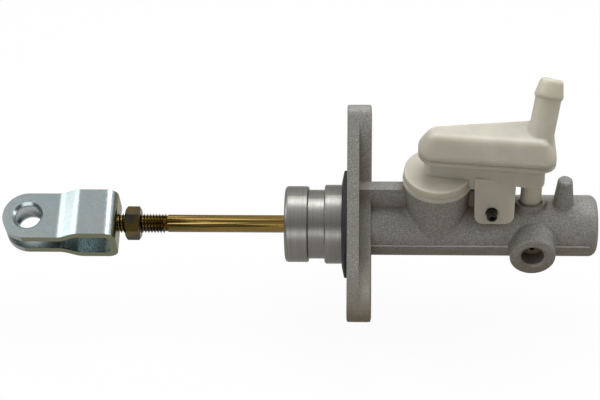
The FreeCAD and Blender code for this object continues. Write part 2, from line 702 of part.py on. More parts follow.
def lock_nut():
    """A hexagon nut with both faces bevelled at the corners."""
    body = new_body("lock_nut")
    corner = "nut_flats / cos(30) / 2"
    hexagon = [("0", corner), ("-nut_flats / 2", corner + " / 2"), ("-nut_flats / 2", "-" + corner + " / 2"),
               ("0", "-" + corner), ("nut_flats / 2", "-" + corner + " / 2"),
               ("nut_flats / 2", corner + " / 2")]
    sketch = outline(body, "hexagon", "YZ_Plane", hexagon, lift=NUT_REAR, turn="nut_turn")
    extrude(body, "Pad", "prism", sketch, "nut_thick")
    for end, face, inward in (("front", NUT_FRONT, "-"), ("rear", NUT_REAR, "+")):
        bevel = outline(body, end + "_bevel_outline", "XZ_Plane", [
            (face, "nut_flats / 2 - nut_bevel / 4"), (face, "nut_flats"),
            (face + " " + inward + " nut_bevel * 3", "nut_flats"),
            (face + " " + inward + " nut_bevel", corner + " + nut_bevel / 4")])
        turned(body, "Groove", end + "_bevel", bevel)
    primitive(body, "SubtractiveCylinder", "thread_bore", x=NUT_REAR + " - 1", turn=ALONG_X,
              Radius="thread_dia / 2 + thread_clear", Height="nut_thick + 2")
    return body


def clevis():
    """The fork end: thick sheet folded to a U, with its ears stepped inwards and round-ended."""
    body = new_body("clevis")
    ear_end = FORK_PIN + " - fork_width / 2"
    inner = [(ear_end, "fork_narrow_gap / 2"),
             (FORK_STEP_REAR, "fork_narrow_gap / 2"),
             (FORK_STEP_FRONT, "fork_wide_gap / 2"),
             ("-fork_front - fork_sheet", "fork_wide_gap / 2")]
    outer = [("-fork_front", "fork_wide_gap / 2 + fork_sheet"),
             (FORK_STEP_FRONT, "fork_wide_gap / 2 + fork_sheet"),
             (FORK_STEP_REAR, "fork_narrow_gap / 2 + fork_sheet"),
             (ear_end, "fork_narrow_gap / 2 + fork_sheet")]

    def mirrored(points):
        return [(x, "-(" + y + ")") for x, y in reversed(points)]
    folded = outline(body, "fold_outline", "XZ_Plane", inner + mirrored(inner) + mirrored(outer) + outer)
    extrude(body, "Pad", "folded_strip", folded, "fork_width", both=True)

    def bend(x, z, slack=0.05):
        def test(edge):
            middle = edge.CenterOfMass
            along_y = edge.BoundBox.YLength > s.fork_width - 0.1
            return along_y and near(middle.x, -x, slack) and near(abs(middle.z), z, slack)
        return test
    wide, narrow = s.fork_wide_gap / 2, s.fork_narrow_gap / 2
    sheet_thick = s.fork_sheet
    finish_edges(body, "Fillet", "outer_folds", "fork_fold_round", bend(s.fork_front, wide + sheet_thick))
    finish_edges(body, "Fillet", "inner_folds", "fork_fold_round - fork_sheet * 0.8",
                 bend(s.fork_front + sheet_thick, wide))
    finish_edges(body, "Fillet", "step_bends", "fork_step_round", lambda edge: any(
        bend(s.fork_front + step, z)(edge) for step in (s.fork_step_front, s.fork_step_rear)
        for z in (wide, wide + sheet_thick, narrow, narrow + sheet_thick)))

    def ear_corner(edge):
        box = edge.BoundBox
        end = -s.fork_front - s.fork_pin_x - s.fork_width / 2
        return near(box.XMin, end) and near(box.XLength, 0) and (
            near(box.YLength, 0) and near(box.ZLength, sheet_thick))
    finish_edges(body, "Fillet", "ear_ends", "fork_width / 2 - 0.1", ear_corner)
    primitive(body, "AdditiveCylinder", "thread_boss", x="-fork_front - fork_sheet - fork_boss_len",
              turn=ALONG_X, Radius="fork_boss_dia / 2", Height="fork_boss_len + fork_sheet / 2")
    primitive(body, "SubtractiveCylinder", "thread_bore", x="-fork_front - fork_sheet - fork_boss_len - 1",
              turn=ALONG_X, Radius="thread_dia / 2 + thread_clear",
              Height="fork_sheet + fork_boss_len + 2")
    primitive(body, "SubtractiveCylinder", "pin_hole", x=FORK_PIN, z="-fork_wide_gap",
              Radius="fork_pin_dia / 2", Height="fork_wide_gap * 2")

    def hole_edge(edge):
        return ring_edge("Z", edge.BoundBox.ZMin, s.fork_pin_dia)(edge)
    finish_edges(body, "Chamfer", "pin_hole_bevels", "fork_pin_bevel", hole_edge)
    body.Placement = Placement(Vector(), Rotation(Vector(1, 0, 0), 1.0))
    bind(body, **{"Placement.Rotation.Angle": "fork_turn"})
    return body


def upright_corner(low, high):
    """Test for an edge that stands upright between two heights."""
    def test(edge):
        box = edge.BoundBox
        return near(box.ZMin, low) and near(box.ZMax, high) and near(box.XLength + box.YLength, 0)
    return test


def wedge(rear, front, rear_half, front_half):
    """The adapter's plan form: a wedge that widens to the front."""
    return [(rear, "-(" + rear_half + ")"), (front, "-(" + front_half + ")"),
            (front, front_half), (rear, rear_half)]


def round_wedge(body, name, low, high, rear, front, rear_round, front_round):
    """Round the upright corners at the two ends of a wedge, each end to its own radius."""
    def at(place):
        def test(edge):
            return upright_corner(low, high)(edge) and near(edge.CenterOfMass.x, place, 0.3)
        return test
    finish_edges(body, "Fillet", name + "_rear_corners", rear_round, at(rear))
    finish_edges(body, "Fillet", name + "_front_corners", front_round, at(front))


def adapter_base():
    """Lower half of the nylon adapter: spout, disc, shell, weld rim, two tabs and a leg."""
    body = new_body("adapter_base")
    rim = outline(body, "rim_outline", "XY_Plane", wedge(
        "rim_rear", "rim_front", "rim_rear_half", "rim_front_half"), lift="shell_top")
    extrude(body, "Pad", "rim", rim, "rim_thick")
    round_wedge(body, "rim", s.shell_top, s.shell_top + s.rim_thick, s.rim_rear, s.rim_front,
                "rim_rear_round", "rim_front_round")
    finish_edges(body, "Fillet", "rim_edge", "rim_edge", flat_edge("Z", s.shell_top))
    shell_foot = s.well_top + s.disc_thick - 1
    shell = outline(body, "shell_outline", "XY_Plane", wedge(
        "shell_rear", "shell_front", "shell_rear_half", "shell_front_half"),
        lift="well_top + disc_thick - 1")
    extrude(body, "Pad", "shell", shell, "shell_top - well_top - disc_thick + 1 + rim_thick / 2")
    doc.recompute()
    round_wedge(body, "shell", shell_foot, s.shell_top, s.shell_rear, s.shell_front,
                "shell_rear_round", "shell_front_round")
    well = outline(body, "disc_outline", "XZ_Plane", [
        ("well_x", "well_top - spout_len"), ("well_x + spout_dia / 2", "well_top - spout_len"),
        ("well_x + spout_dia / 2", "well_top"), ("well_x + disc_dia / 2", "well_top"),
        ("well_x + disc_dia / 2", "well_top + disc_lip"),
        ("well_x + disc_dia / 2 - disc_step", "well_top + disc_lip"),
        ("well_x + disc_dia / 2 - disc_step", "well_top + disc_thick"),
        ("well_x", "well_top + disc_thick")])
    disc = feature(body, "Revolution", "disc", well)
    disc.ReferenceAxis = (well, ["Edge8"])
    disc.Angle = 360.0
    finish_edges(body, "Fillet", "disc_edge", "disc_step", lambda edge: (
        ring_edge("Z", s.well_top + s.disc_thick, s.disc_dia - 2 * s.disc_step)(edge)))
    web = outline(body, "web_outline", "XZ_Plane", [
        ("well_x + disc_dia / 2 - 2", "web_foot"), ("tab_rear + tab_taper + 1", "web_foot"),
        ("tab_rear + tab_taper + 1", "well_top + disc_thick"),
        ("well_x + disc_dia / 2 - 2", "well_top + disc_thick")])
    extrude(body, "Pad", "web", web, "web_thick", both=True)
    adapter_tabs(body)
    primitive(body, "AdditiveCylinder", "leg", x="leg_x", z=LEG_FOOT, Radius="leg_dia / 2",
              Height="well_top + disc_thick - " + LEG_FOOT)
    finish_edges(body, "Chamfer", "leg_bevel", "leg_dia / 10",
                 ring_edge("Z", s.leg_boss_top - s.leg_hole_depth + s.leg_foot))
    cavity = outline(body, "cavity_outline", "XY_Plane", wedge(
        "shell_rear + shell_wall", "shell_front - shell_wall", "shell_rear_half - shell_wall / 2",
        "shell_front_half - shell_wall"), lift="well_top + disc_thick + shell_wall / 2")
    extrude(body, "Pocket", "cavity", cavity, "shell_top", reverse=True)
    primitive(body, "SubtractiveCylinder", "spout_bore", x="well_x", z="well_top - spout_len - 1",
              Radius="spout_bore_dia / 2", Height="spout_len + disc_thick - shell_wall + 1")
    primitive(body, "SubtractiveCylinder", "neck_bore", x="well_x", z="well_top",
              Radius="shell_rear_half - shell_wall / 2", Height="disc_thick + shell_wall")
    return body


def adapter_tabs(body):
    """Two leaning tabs that straddle the lug, with a hole for the cross pin."""
    top = "(well_top + disc_thick + 1)"
    length = top + " - tab_foot"
    points = [("tab_rear", "0"), ("tab_front", "0"), ("tab_front - tab_taper", "-(" + length + ")"),
              ("tab_rear + tab_taper", "-(" + length + ")")]
    sketch = outline(body, "tab_outline", "XZ_Plane", points, lift="tab_half - tab_thick",
                     turn="-tab_lean", axis=Vector(1, 0, 0))
    sketch.setExpression("AttachmentOffset.Base.y", bound(top))
    tab = extrude(body, "Pad", "tab", sketch, "tab_thick")
    doc.recompute()
    tabs = body.newObject("PartDesign::Mirrored", "tabs")
    tabs.Originals = [tab]
    tabs.MirrorPlane = (origin_plane(body, "XZ_Plane"), [""])
    body.Tip = tabs
    foot_x = (s.tab_rear + s.tab_taper, s.tab_front - s.tab_taper)

    def foot_corner(edge):
        box = edge.BoundBox
        middle = edge.CenterOfMass
        return (near(box.XLength, 0) and any(near(middle.x, x, 0.05) for x in foot_x)
                and middle.z < s.tab_foot + s.tab_thick and edge.Length < s.tab_thick + 0.1)
    finish_edges(body, "Fillet", "tab_corners", "tab_round", foot_corner)
    primitive(body, "SubtractiveCylinder", "tab_holes", x="pin_x", y="disc_dia", z="pin_z", turn=TO_FRONT,
              Radius="tab_hole_dia / 2", Height="disc_dia * 2")


def adapter_cover():
    """Upper half of the nylon adapter: weld rim, sloping roof and the hose spout."""
    body = new_body("adapter_cover")
    low = "(shell_top + rim_thick)"
    rim = outline(body, "rim_outline", "XY_Plane", wedge(
        "rim_rear", "rim_front", "rim_rear_half", "rim_front_half"), lift=low)
    extrude(body, "Pad", "rim", rim, "rim_thick")
    round_wedge(body, "rim", s.shell_top + s.rim_thick, s.shell_top + 2 * s.rim_thick, s.rim_rear,
                s.rim_front, "rim_rear_round", "rim_front_round")
    doc.recompute()
    roof = feature(body, "Pad", "roof", None)
    top_face = next("Face%d" % (n + 1) for n, face in enumerate(body.Shape.Faces)
                    if near(face.BoundBox.ZMin, s.shell_top + 2 * s.rim_thick) and face.BoundBox.ZLength < 0.01)
    roof.Profile = (doc.getObject(body.Group[-2].Name), [top_face])
    bind(roof, Length="roof_top - shell_top - 2 * rim_thick", TaperAngle="-roof_slope")
    finish_edges(body, "Fillet", "roof_edge", "roof_edge", flat_edge("Z", s.roof_top))
    lean = Rotation(Vector(0, 1, 0), s.spout2_lean_front) * Rotation(Vector(1, 0, 0), -s.spout2_lean_back)
    axis = lean.multVec(Vector(0, 0, 1))

    def along(distance):
        return {name: "%s + (%s) * %r" % (start, distance, part) for name, start, part in (
            ("x", "spout2_x", axis.x), ("y", "spout2_y", axis.y), ("z", "roof_top", axis.z))}
    primitive(body, "AdditiveCylinder", "stem", turn=lean, Radius="stem_dia / 2",
              Height="stem_len + stem_sunk", **along("-stem_sunk"))
    primitive(body, "AdditiveCylinder", "barb_crest", turn=lean, Radius="barb_dia / 2",
              Height="barb_land", **along("stem_len"))
    primitive(body, "AdditiveCone", "barb", turn=lean, Radius1="barb_dia / 2", Radius2="barb_tip_dia / 2",
              Height="barb_len - barb_land", **along("stem_len + barb_land"))
    finish_edges(body, "Fillet", "barb_tip", "barb_tip_round", lambda edge: (
        near(edge.Length, math.pi * s.barb_tip_dia)))
    inner = outline(body, "cavity_outline", "XY_Plane", wedge(
        "shell_rear + shell_wall", "shell_front - shell_wall", "shell_rear_half - shell_wall / 2",
        "rim_front_half - (rim_front - shell_front) - shell_wall * 1.5"), lift=low)
    extrude(body, "Pocket", "cavity", inner, "roof_top - shell_top - rim_thick - shell_wall", reverse=True)
    primitive(body, "SubtractiveCylinder", "hose_bore", turn=lean, Radius="hose_bore_dia / 2",
              Height="stem_len + barb_len + stem_sunk + 2", **along("-stem_sunk"))
    return body


def adapter_seal():
    """The rubber grommet round the adapter's spout, in the well of the casting."""
    body = new_body("adapter_seal")
    foot = "(well_top - well_depth + grommet_lift)"
    head = "(well_top - press_clear)"
    inner, outer = "(spout_dia / 2 + press_clear)", "(well_dia / 2 - press_clear)"
    profile = outline(body, "seal_outline", "XZ_Plane", [
        ("well_x + " + inner, foot), ("well_x + " + outer + " - grommet_bite", foot),
        ("well_x + " + outer, foot + " + grommet_bite"),
        ("well_x + " + outer, "well_top - 3 * grommet_bite"),
        ("well_x + " + outer + " - grommet_bite / 2", "well_top - 2.5 * grommet_bite"),
        ("well_x + " + outer + " - grommet_bite / 2", "well_top - 1.5 * grommet_bite"),
        ("well_x + " + outer, "well_top - grommet_bite"), ("well_x + " + outer, head),
        ("well_x + " + inner, head), ("well_x", head), ("well_x", foot)])
    seal = feature(body, "Revolution", "seal", profile)
    seal.ReferenceAxis = (profile, ["Edge10"])
    seal.Angle = 360.0
    primitive(body, "SubtractiveCylinder", "seal_bore", x="well_x", z="well_top - well_depth",
              Radius="spout_dia / 2 + press_clear", Height="well_depth + 1")
    return body


def roll_pin():
    """The slotted spring pin through the tabs and the lug."""
    body = new_body("roll_pin")
    primitive(body, "AdditiveCylinder", "pin", x="pin_x", y="pin_len / 2", z="pin_z", turn=TO_FRONT,
              Radius="pin_dia / 2", Height="pin_len")
    finish_edges(body, "Chamfer", "pin_ends", "pin_dia / 12", lambda edge: (
        ring_edge("Y", s.pin_len / 2)(edge) or ring_edge("Y", -s.pin_len / 2)(edge)))
    primitive(body, "SubtractiveCylinder", "pin_bore", x="pin_x", y="pin_len / 2 + 1", z="pin_z",
              turn=TO_FRONT, Radius="pin_bore_dia / 2", Height="pin_len + 2")
    slot = outline(body, "slot_outline", "XZ_Plane", [
        ("pin_x", "pin_z - pin_slot / 2"), ("pin_x + pin_dia", "pin_z - pin_slot / 2"),
        ("pin_x + pin_dia", "pin_z + pin_slot / 2"), ("pin_x", "pin_z + pin_slot / 2")])
    extrude(body, "Pocket", "slot", slot, "pin_len + 2", both=True)
    return body


def union_seat():
    """The brass cone seat at the bottom of the outlet port, which the pipe's flare closes on."""
    body = new_body("union_seat")
    bottom = "port_face - port_thread_depth - seat_depth"
    primitive(body, "AdditiveCylinder", "base", x=PORT_X, y="-(" + bottom + ")", turn=TO_FRONT,
              Radius="seat_dia / 2", Height="seat_depth")
    primitive(body, "AdditiveCone", "cone", x=PORT_X, y="-(" + bottom + " + seat_depth)", turn=TO_FRONT,
              Radius1="seat_dia / 2", Radius2="seat_tip_dia / 2", Height="seat_nose")
    primitive(body, "SubtractiveCylinder", "drilling", x=PORT_X, turn=TO_FRONT,
              Radius="seat_bore_dia / 2", Height="port_face")
    return body


for make in (cylinder_body, mounting_seal, piston, piston_set, return_spring, stop_washer, snap_ring,
             push_rod, lock_nut, clevis, adapter_base, adapter_cover, adapter_seal, roll_pin, union_seat):
    make()
doc.recompute()

faults = [thing.Name for thing in doc.Objects if {"Invalid", "Error"} & set(thing.State)]
bodies = [thing for thing in doc.Objects if thing.TypeId == "PartDesign::Body"]
faults += [body.Label for body in bodies if body.Shape.isNull() or not body.Shape.isValid()]
if faults:
    raise RuntimeError("failed objects: " + ", ".join(faults))
os.makedirs("parts", exist_ok=True)
for body in bodies:
    body.Shape.exportStep(os.path.join("parts", body.Label + ".step"))
    print("%-16s %9.1f mm3, %d solid(s)" % (body.Label, body.Shape.Volume, len(body.Shape.Solids)))
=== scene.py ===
"""Clutch master cylinder: finishes, rod thread, casting marks and studio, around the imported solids.

Lengths are metres, and a size written in millimetres is multiplied by MM. The finishes count their patterns
in millimetres. The bore runs along +X, and the adapter is on the +Z side.
"""
import json
import math

import bpy
from bpy.props import FloatProperty, FloatVectorProperty, IntProperty, PointerProperty
from mathutils import Matrix, Vector


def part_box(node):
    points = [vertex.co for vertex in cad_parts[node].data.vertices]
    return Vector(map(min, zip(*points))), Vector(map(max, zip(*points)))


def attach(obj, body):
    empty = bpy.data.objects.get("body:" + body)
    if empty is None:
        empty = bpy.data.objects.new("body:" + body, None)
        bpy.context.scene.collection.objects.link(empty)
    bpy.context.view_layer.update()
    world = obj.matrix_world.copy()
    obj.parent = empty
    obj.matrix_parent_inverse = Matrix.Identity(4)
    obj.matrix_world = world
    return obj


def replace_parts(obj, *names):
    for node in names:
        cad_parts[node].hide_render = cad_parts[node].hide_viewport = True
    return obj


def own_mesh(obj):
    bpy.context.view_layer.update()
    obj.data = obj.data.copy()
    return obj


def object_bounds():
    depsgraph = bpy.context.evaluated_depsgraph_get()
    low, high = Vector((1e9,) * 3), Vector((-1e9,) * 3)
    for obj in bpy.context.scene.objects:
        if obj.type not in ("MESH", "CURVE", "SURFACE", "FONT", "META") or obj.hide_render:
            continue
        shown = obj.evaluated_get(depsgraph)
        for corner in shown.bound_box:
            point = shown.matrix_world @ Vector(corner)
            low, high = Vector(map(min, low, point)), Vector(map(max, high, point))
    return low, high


bl_info = {
    "name": "Clutch master cylinder",
    "version": (1, 0, 0),
    "blender": (4, 5, 0),
    "location": "View3D > Sidebar > Cylinder",
    "description": "Finishes and fine detail of a clutch master cylinder",
    "category": "Object",
}

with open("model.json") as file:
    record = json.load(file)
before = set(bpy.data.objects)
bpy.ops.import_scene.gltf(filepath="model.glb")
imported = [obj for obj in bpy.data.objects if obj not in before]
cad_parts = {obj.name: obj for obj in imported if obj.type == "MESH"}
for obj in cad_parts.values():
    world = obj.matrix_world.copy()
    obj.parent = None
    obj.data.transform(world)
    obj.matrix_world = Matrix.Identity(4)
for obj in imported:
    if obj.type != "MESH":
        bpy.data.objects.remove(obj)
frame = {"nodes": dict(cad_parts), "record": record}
CAD_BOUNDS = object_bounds()
MM = 0.001
SLOT_OF = {part["node"]: part["material_slot"] for part in frame["record"]["subparts"]}
MOUNTS = {mount["name"]: mount for mount in frame["record"]["mounts"]}

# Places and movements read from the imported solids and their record
NUT_FRONT_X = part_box("lock_nut")[1][0]
ROD_TIP_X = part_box("push_rod")[0][0]
BARREL_END_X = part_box("cylinder_body")[1][0]
PORT_X = MOUNTS["outlet"]["pos_m"][0]
PIN_AXIS = MOUNTS["fork_pin"]["axis"]
FORK_TURN = math.atan2(-PIN_AXIS[1], PIN_AXIS[2])
FORK_BACK_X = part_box("clevis")[1][0]

# Sizes of the casting and the rod, the same as in the solids
FLANGE_THICK = 9.6 * MM
FLANGE_HALF_WIDTH = 22.6 * MM
BARREL_RADIUS = 12.4 * MM
THREAD_AHEAD_MM = 10.8

# Where the finishes change, in millimetres
NOSE_TURNED = (-0.35, -0.25)
PORT_FACED = (-18.79, -17.9)
PORT_RING = (5.5, 5.7)
FLASH_DEPTH = (-12.80, -12.43)
FLASH_HEIGHT = (-0.45, 0.45)
FLANGE_FRONT = (9.5, 9.9)
# The fork's cut edges and its base, which get painted shade with a yellow tint
FORK_EDGE = (10.15, 10.25)
FORK_BASE = (1.6, 0.6)

# The parting line's ridge: where it stops, its waves, each a height in millimetres and the radians it turns
# through in a millimetre, and how much of its height it loses at its foot
FLASH_END = 3.4 * MM
FLASH_PORT_GAP = 9.0 * MM
FLASH_CUTS = 24
FLASH_WAVES = ((0.09, 0.9), (0.05, 2.7))
FLASH_FALL = 0.9

# The ejector marks: places along the flange's edge, distance from its rear face, and the raised ring of each
EJECTOR_PLACES = (11.5 * MM, -22.0 * MM)
EJECTOR_X = 2.5 * MM
EJECTOR_RING = 0.12 * MM
EJECTOR_SUNK = 0.02 * MM

# Fineness of the rod's thread, lengths of its two tapers, and widths over which the cover turns soft
THREAD_STEPS = 28
THREAD_TAPER = 0.4 * MM
SHANK_TAPER = 0.6 * MM
SLACK = 0.02 * MM
SPOUT_FADE = 1.5 * MM
RIM_FADE = 1.0 * MM

# Sockets of the Mix node, for colours and for numbers
COLOURS_IN = (6, 7)
COLOUR_OUT = 2
NUMBERS_IN = (2, 3)
NUMBER_OUT = 0

# Each lamp's place and size in metres, and the setting that holds its power
LAMPS = {
    "key": ((0.035, 0.13, 0.32), (0.24, 0.12), "key_power"),
    "left_lamp": ((-0.42, 0.05, 0.30), (0.25, 0.35), "side_power"),
    "right_lamp": ((0.42, 0.05, 0.30), (0.25, 0.35), "side_power"),
    "fill": ((-0.10, -0.62, 0.15), (0.7, 0.22), "fill_power"),
}

# The camera, the floor, and the upward slopes between which the sky's strength and warmth change
SENSOR_WIDTH = 36.0
NEAREST_SEEN = 0.01
FLOOR_SIZE = 2.4
FLOOR_GAP = 0.5 * MM
SKY_TOP = 0.95
WARM_RANGE = (-0.4, 0.5)
WHITE = (1.0, 1.0, 1.0, 1.0)


def colour(name, default, description):
    """A colour that the user can change."""
    return FloatVectorProperty(name=name, description=description, subtype="COLOR", size=3,
                               min=0.0, max=1.0, default=default)


def length(name, default_mm, description):
    """A length that the user can change."""
    return FloatProperty(name=name, description=description, unit="LENGTH", precision=5,
                         default=default_mm * MM)


class CylinderColours(bpy.types.PropertyGroup):
    """Colours of the finishes, which the user can change"""
    casting: colour("Casting", (0.365, 0.362, 0.345), "Sand-grained aluminium of the casting")
    turned: colour("Turned aluminium", (0.275, 0.272, 0.252), "Lathe-turned faces of the casting")
    nylon: colour("Nylon", (0.57, 0.545, 0.46), "Natural nylon of the hose adapter")
    clear_zinc: colour("Clear zinc", (0.40, 0.43, 0.425), "Clear passivated plate of the fork")
    yellow_zinc: colour("Yellow zinc", (0.30, 0.215, 0.062), "Yellow passivated plate of the rod")
    rubber: colour("Rubber", (0.014, 0.014, 0.014), "Seal rubber")


class CylinderShapes(bpy.types.PropertyGroup):
    """Sizes of the pieces that are added to the solids"""
    thread_pitch: length("Thread pitch", 1.25, "Advance of the rod's thread in one turn")
    thread_root: length("Thread root", 3.28, "Radius at the bottom of the rod's thread")
    thread_crest: length("Thread crest", 3.98, "Radius at the top of the rod's thread")
    thread_ahead: length("Thread run-out", THREAD_AHEAD_MM, "Length of thread in front of the lock nut")
    shank_radius: length("Shank radius", 3.58, "Radius of the rod's plain part outside the nose")
    shank_end: length("Shank end", 22.5, "How far behind the flange the full shank ends, inside the nose")
    flash_high: length("Parting flash height", 0.30, "How far the parting line stands out of the casting")
    flash_wide: length("Parting flash width", 0.5, "Width of the parting line's foot")
    cover_grain: length("Cover's mesh", 0.45, "Size of the faces that the softened cover is made of")
    cover_rim: length("Cover's sharp rim", 1.6,
                      "Height above its foot up to which the cover keeps its edges")
    spout_keep: length("Spout's own radius", 7.0, "Radius round the spout that is left as it is")
    cover_passes: IntProperty(name="Softening", description="How often the cover's faces are smoothed",
                              default=60, min=0, max=400)
    ejector_radius: length("Ejector mark", 1.6, "Radius of the ejector marks on the flange's edge")


class CylinderStage(bpy.types.PropertyGroup):
    """Camera and lamps"""
    yaw: FloatProperty(name="Yaw", description="Camera's angle round the upright axis",
                       subtype="ANGLE", default=math.radians(3.517))
    elevation: FloatProperty(name="Elevation", description="Camera's angle above the level plane",
                             subtype="ANGLE", default=math.radians(42.572))
    roll: FloatProperty(name="Roll", description="Camera's turn about its own line of sight",
                        subtype="ANGLE", default=math.radians(-2.1))
    distance: length("Distance", 715.4, "From the camera to the point it looks at")
    pixels_per_mm: FloatProperty(name="Pixels a millimetre", default=2.48,
                                 description="Scale of the picture at the point the camera looks at")
    target: FloatVectorProperty(name="Target", description="Point that the camera looks at",
                                subtype="TRANSLATION", default=(-0.019148, 0.0, 0.013343))
    image_width: IntProperty(name="Image width", description="Width of the picture in pixels", default=600)
    key_power: FloatProperty(name="Key lamp", description="Power of the lamp close above the casting",
                             unit="POWER", default=0.52)
    side_power: FloatProperty(name="Side lamps", description="Power of each lamp beyond the two ends",
                              unit="POWER", default=0.65)
    fill_power: FloatProperty(name="Fill lamp", description="Power of the lamp beside the camera",
                              unit="POWER", default=1.0)
    sky_high: FloatProperty(name="Sky above", description="Strength of the even light from above",
                            default=0.66)
    sky_low: FloatProperty(name="Sky below", description="Strength of the even light from below",
                           default=0.05)
    sky_axis: FloatVectorProperty(name="Sky's bright side", subtype="DIRECTION",
                                  description="Direction that the light falls from",
                                  default=(0.0, 0.447, 0.894))
    warm_low: colour("Light from below", (1.0, 0.80, 0.56), "Tint of the light from below")
    floor_bounce: colour("Floor's bounce", (0.30, 0.25, 0.18), "Floor's colour as the object is lit by it")
    floor_seen: colour("Floor", (0.95, 0.95, 0.95), "Floor's colour as the camera sees it")
    gloss_share: FloatProperty(name="Background in gloss", default=0.10, min=0.0, max=1.0,
                               description="How much of the white background a glossy face shows")
    floor_gloss: FloatProperty(name="Floor in gloss", default=0.42, min=0.0, max=1.0,
                               description="How much of the white floor a glossy face shows")
    shadow_share: FloatProperty(name="Shadow on the floor", default=0.05, min=0.0, max=1.0,
                                description="How much of the floor's own shading the camera sees")


# Finishes, each a material made of nodes


class Finish:
    """A material being built from nodes, on object coordinates counted in millimetres."""

    def __init__(self, name):
        material = bpy.data.materials.get(name) or bpy.data.materials.new(name)
        material.use_nodes = True
        self.tree = material.node_tree
        self.shader = self.tree.nodes["Principled BSDF"]
        coordinates = self.tree.nodes.new("ShaderNodeTexCoord")
        place = self.tree.nodes.new("ShaderNodeMapping")
        place.inputs["Scale"].default_value = (1 / MM, 1 / MM, 1 / MM)
        self.link(coordinates.outputs["Object"], place.inputs["Vector"])
        self.millimetres = place.outputs["Vector"]

    def link(self, output, socket):
        """Join an output to a socket."""
        self.tree.links.new(output, socket)

    def set(self, name, value):
        """Give the shader's own socket a value."""
        self.shader.inputs[name].default_value = value

    def wire(self, name, output):
        """Join an output to the shader's socket."""
        self.link(output, self.shader.inputs[name])

    def feed(self, socket, value):
        """Give a socket an output, a colour or a number."""
        if isinstance(value, bpy.types.NodeSocket):
            self.link(value, socket)
        elif isinstance(value, tuple):
            socket.default_value = (*value, 1.0)
        else:
            socket.default_value = value

    def stretched(self, scale):
        """The coordinates squeezed by a different factor on each axis."""
        node = self.tree.nodes.new("ShaderNodeMapping")
        node.inputs["Scale"].default_value = scale
        self.link(self.millimetres, node.inputs["Vector"])
        return node.outputs["Vector"]

    def noise(self, per_mm, detail=4.0, roughness=0.55, vector=None, distortion=0.0):
        """Cloudy noise of so many waves a millimetre."""
        node = self.tree.nodes.new("ShaderNodeTexNoise")
        node.inputs["Scale"].default_value = per_mm
        node.inputs["Detail"].default_value = detail
        node.inputs["Roughness"].default_value = roughness
        node.inputs["Distortion"].default_value = distortion
        self.link(vector or self.millimetres, node.inputs["Vector"])
        return node.outputs["Fac"]

    def cells(self, per_mm):
        """Rounded dimples, so many a millimetre."""
        node = self.tree.nodes.new("ShaderNodeTexVoronoi")
        node.inputs["Scale"].default_value = per_mm
        self.link(self.millimetres, node.inputs["Vector"])
        return node.outputs["Distance"]

    def spread(self, value, low, high, to_low=0.0, to_high=1.0):
        """A value's range stretched to another range, and cut off at its ends."""
        node = self.tree.nodes.new("ShaderNodeMapRange")
        limits = {"From Min": low, "From Max": high, "To Min": to_low, "To Max": to_high}
        for name, number in limits.items():
            node.inputs[name].default_value = number
        self.link(value, node.inputs["Value"])
        return node.outputs["Result"]

    def mix(self, factor, one, other):
        """Colours mixed by a factor; each is a colour or an output."""
        node = self.tree.nodes.new("ShaderNodeMix")
        node.data_type = "RGBA"
        self.link(factor, node.inputs["Factor"])
        for socket, value in zip(COLOURS_IN, (one, other)):
            self.feed(node.inputs[socket], value)
        return node.outputs[COLOUR_OUT]

    def blend(self, factor, one, other):
        """Numbers mixed by a factor; each is a number or an output."""
        node = self.tree.nodes.new("ShaderNodeMix")
        self.link(factor, node.inputs["Factor"])
        for socket, value in zip(NUMBERS_IN, (one, other)):
            self.feed(node.inputs[socket], value)
        return node.outputs[NUMBER_OUT]

    def math(self, operation, one, other=0.0):
        """A sum, product or the like of two numbers or outputs."""
        node = self.tree.nodes.new("ShaderNodeMath")
        node.operation = operation
        self.feed(node.inputs[0], one)
        self.feed(node.inputs[1], other)
        return node.outputs[0]

    def axis_value(self, axis, turned=0.0):
        """One coordinate in millimetres, after a turn about the bore's axis."""
        turn = self.tree.nodes.new("ShaderNodeMapping")
        turn.inputs["Rotation"].default_value = (-turned, 0.0, 0.0)
        self.link(self.millimetres, turn.inputs["Vector"])
        node = self.tree.nodes.new("ShaderNodeSeparateXYZ")
        self.link(turn.outputs["Vector"], node.inputs["Vector"])
        return node.outputs[axis]

    def reach(self, along):
        """Distance in millimetres from a line that runs in Y, at a place along the bore."""
        flat = self.tree.nodes.new("ShaderNodeMapping")
        flat.inputs["Location"].default_value = (-along, 0.0, 0.0)
        flat.inputs["Scale"].default_value = (1.0, 0.0, 1.0)
        self.link(self.millimetres, flat.inputs["Vector"])
        node = self.tree.nodes.new("ShaderNodeVectorMath")
        node.operation = "LENGTH"
        self.link(flat.outputs["Vector"], node.inputs[0])
        return node.outputs["Value"]

    def band(self, value, low, high):
        """One between two values and nought outside them, with a soft edge."""
        edge = 0.05
        return self.math("MULTIPLY", self.spread(value, low - edge, low),
                         self.spread(value, high, high + edge, 1.0, 0.0))

    def corners(self, distance_mm):
        """One on open faces, and less in corners that other faces close in; the casting paints shade into
        its corners with it.
        """
        node = self.tree.nodes.new("ShaderNodeAmbientOcclusion")
        node.samples = 8
        node.inputs["Distance"].default_value = distance_mm * MM
        return node.outputs["AO"]

    def bump(self, height, strength, distance_mm):
        """Relief on the shader, as deep as the distance where the height is one."""
        node = self.tree.nodes.new("ShaderNodeBump")
        node.inputs["Strength"].default_value = strength
        node.inputs["Distance"].default_value = distance_mm * MM
        self.link(height, node.inputs["Height"])
        self.wire("Normal", node.outputs["Normal"])


def shade(rgb, factor):
    """A colour made darker or lighter."""
    return tuple(min(1.0, part * factor) for part in rgb)


def tinted(rgb, factors):
    """A colour with each of its parts made darker or lighter by its own factor."""
    return tuple(part * factor for part, factor in zip(rgb, factors))


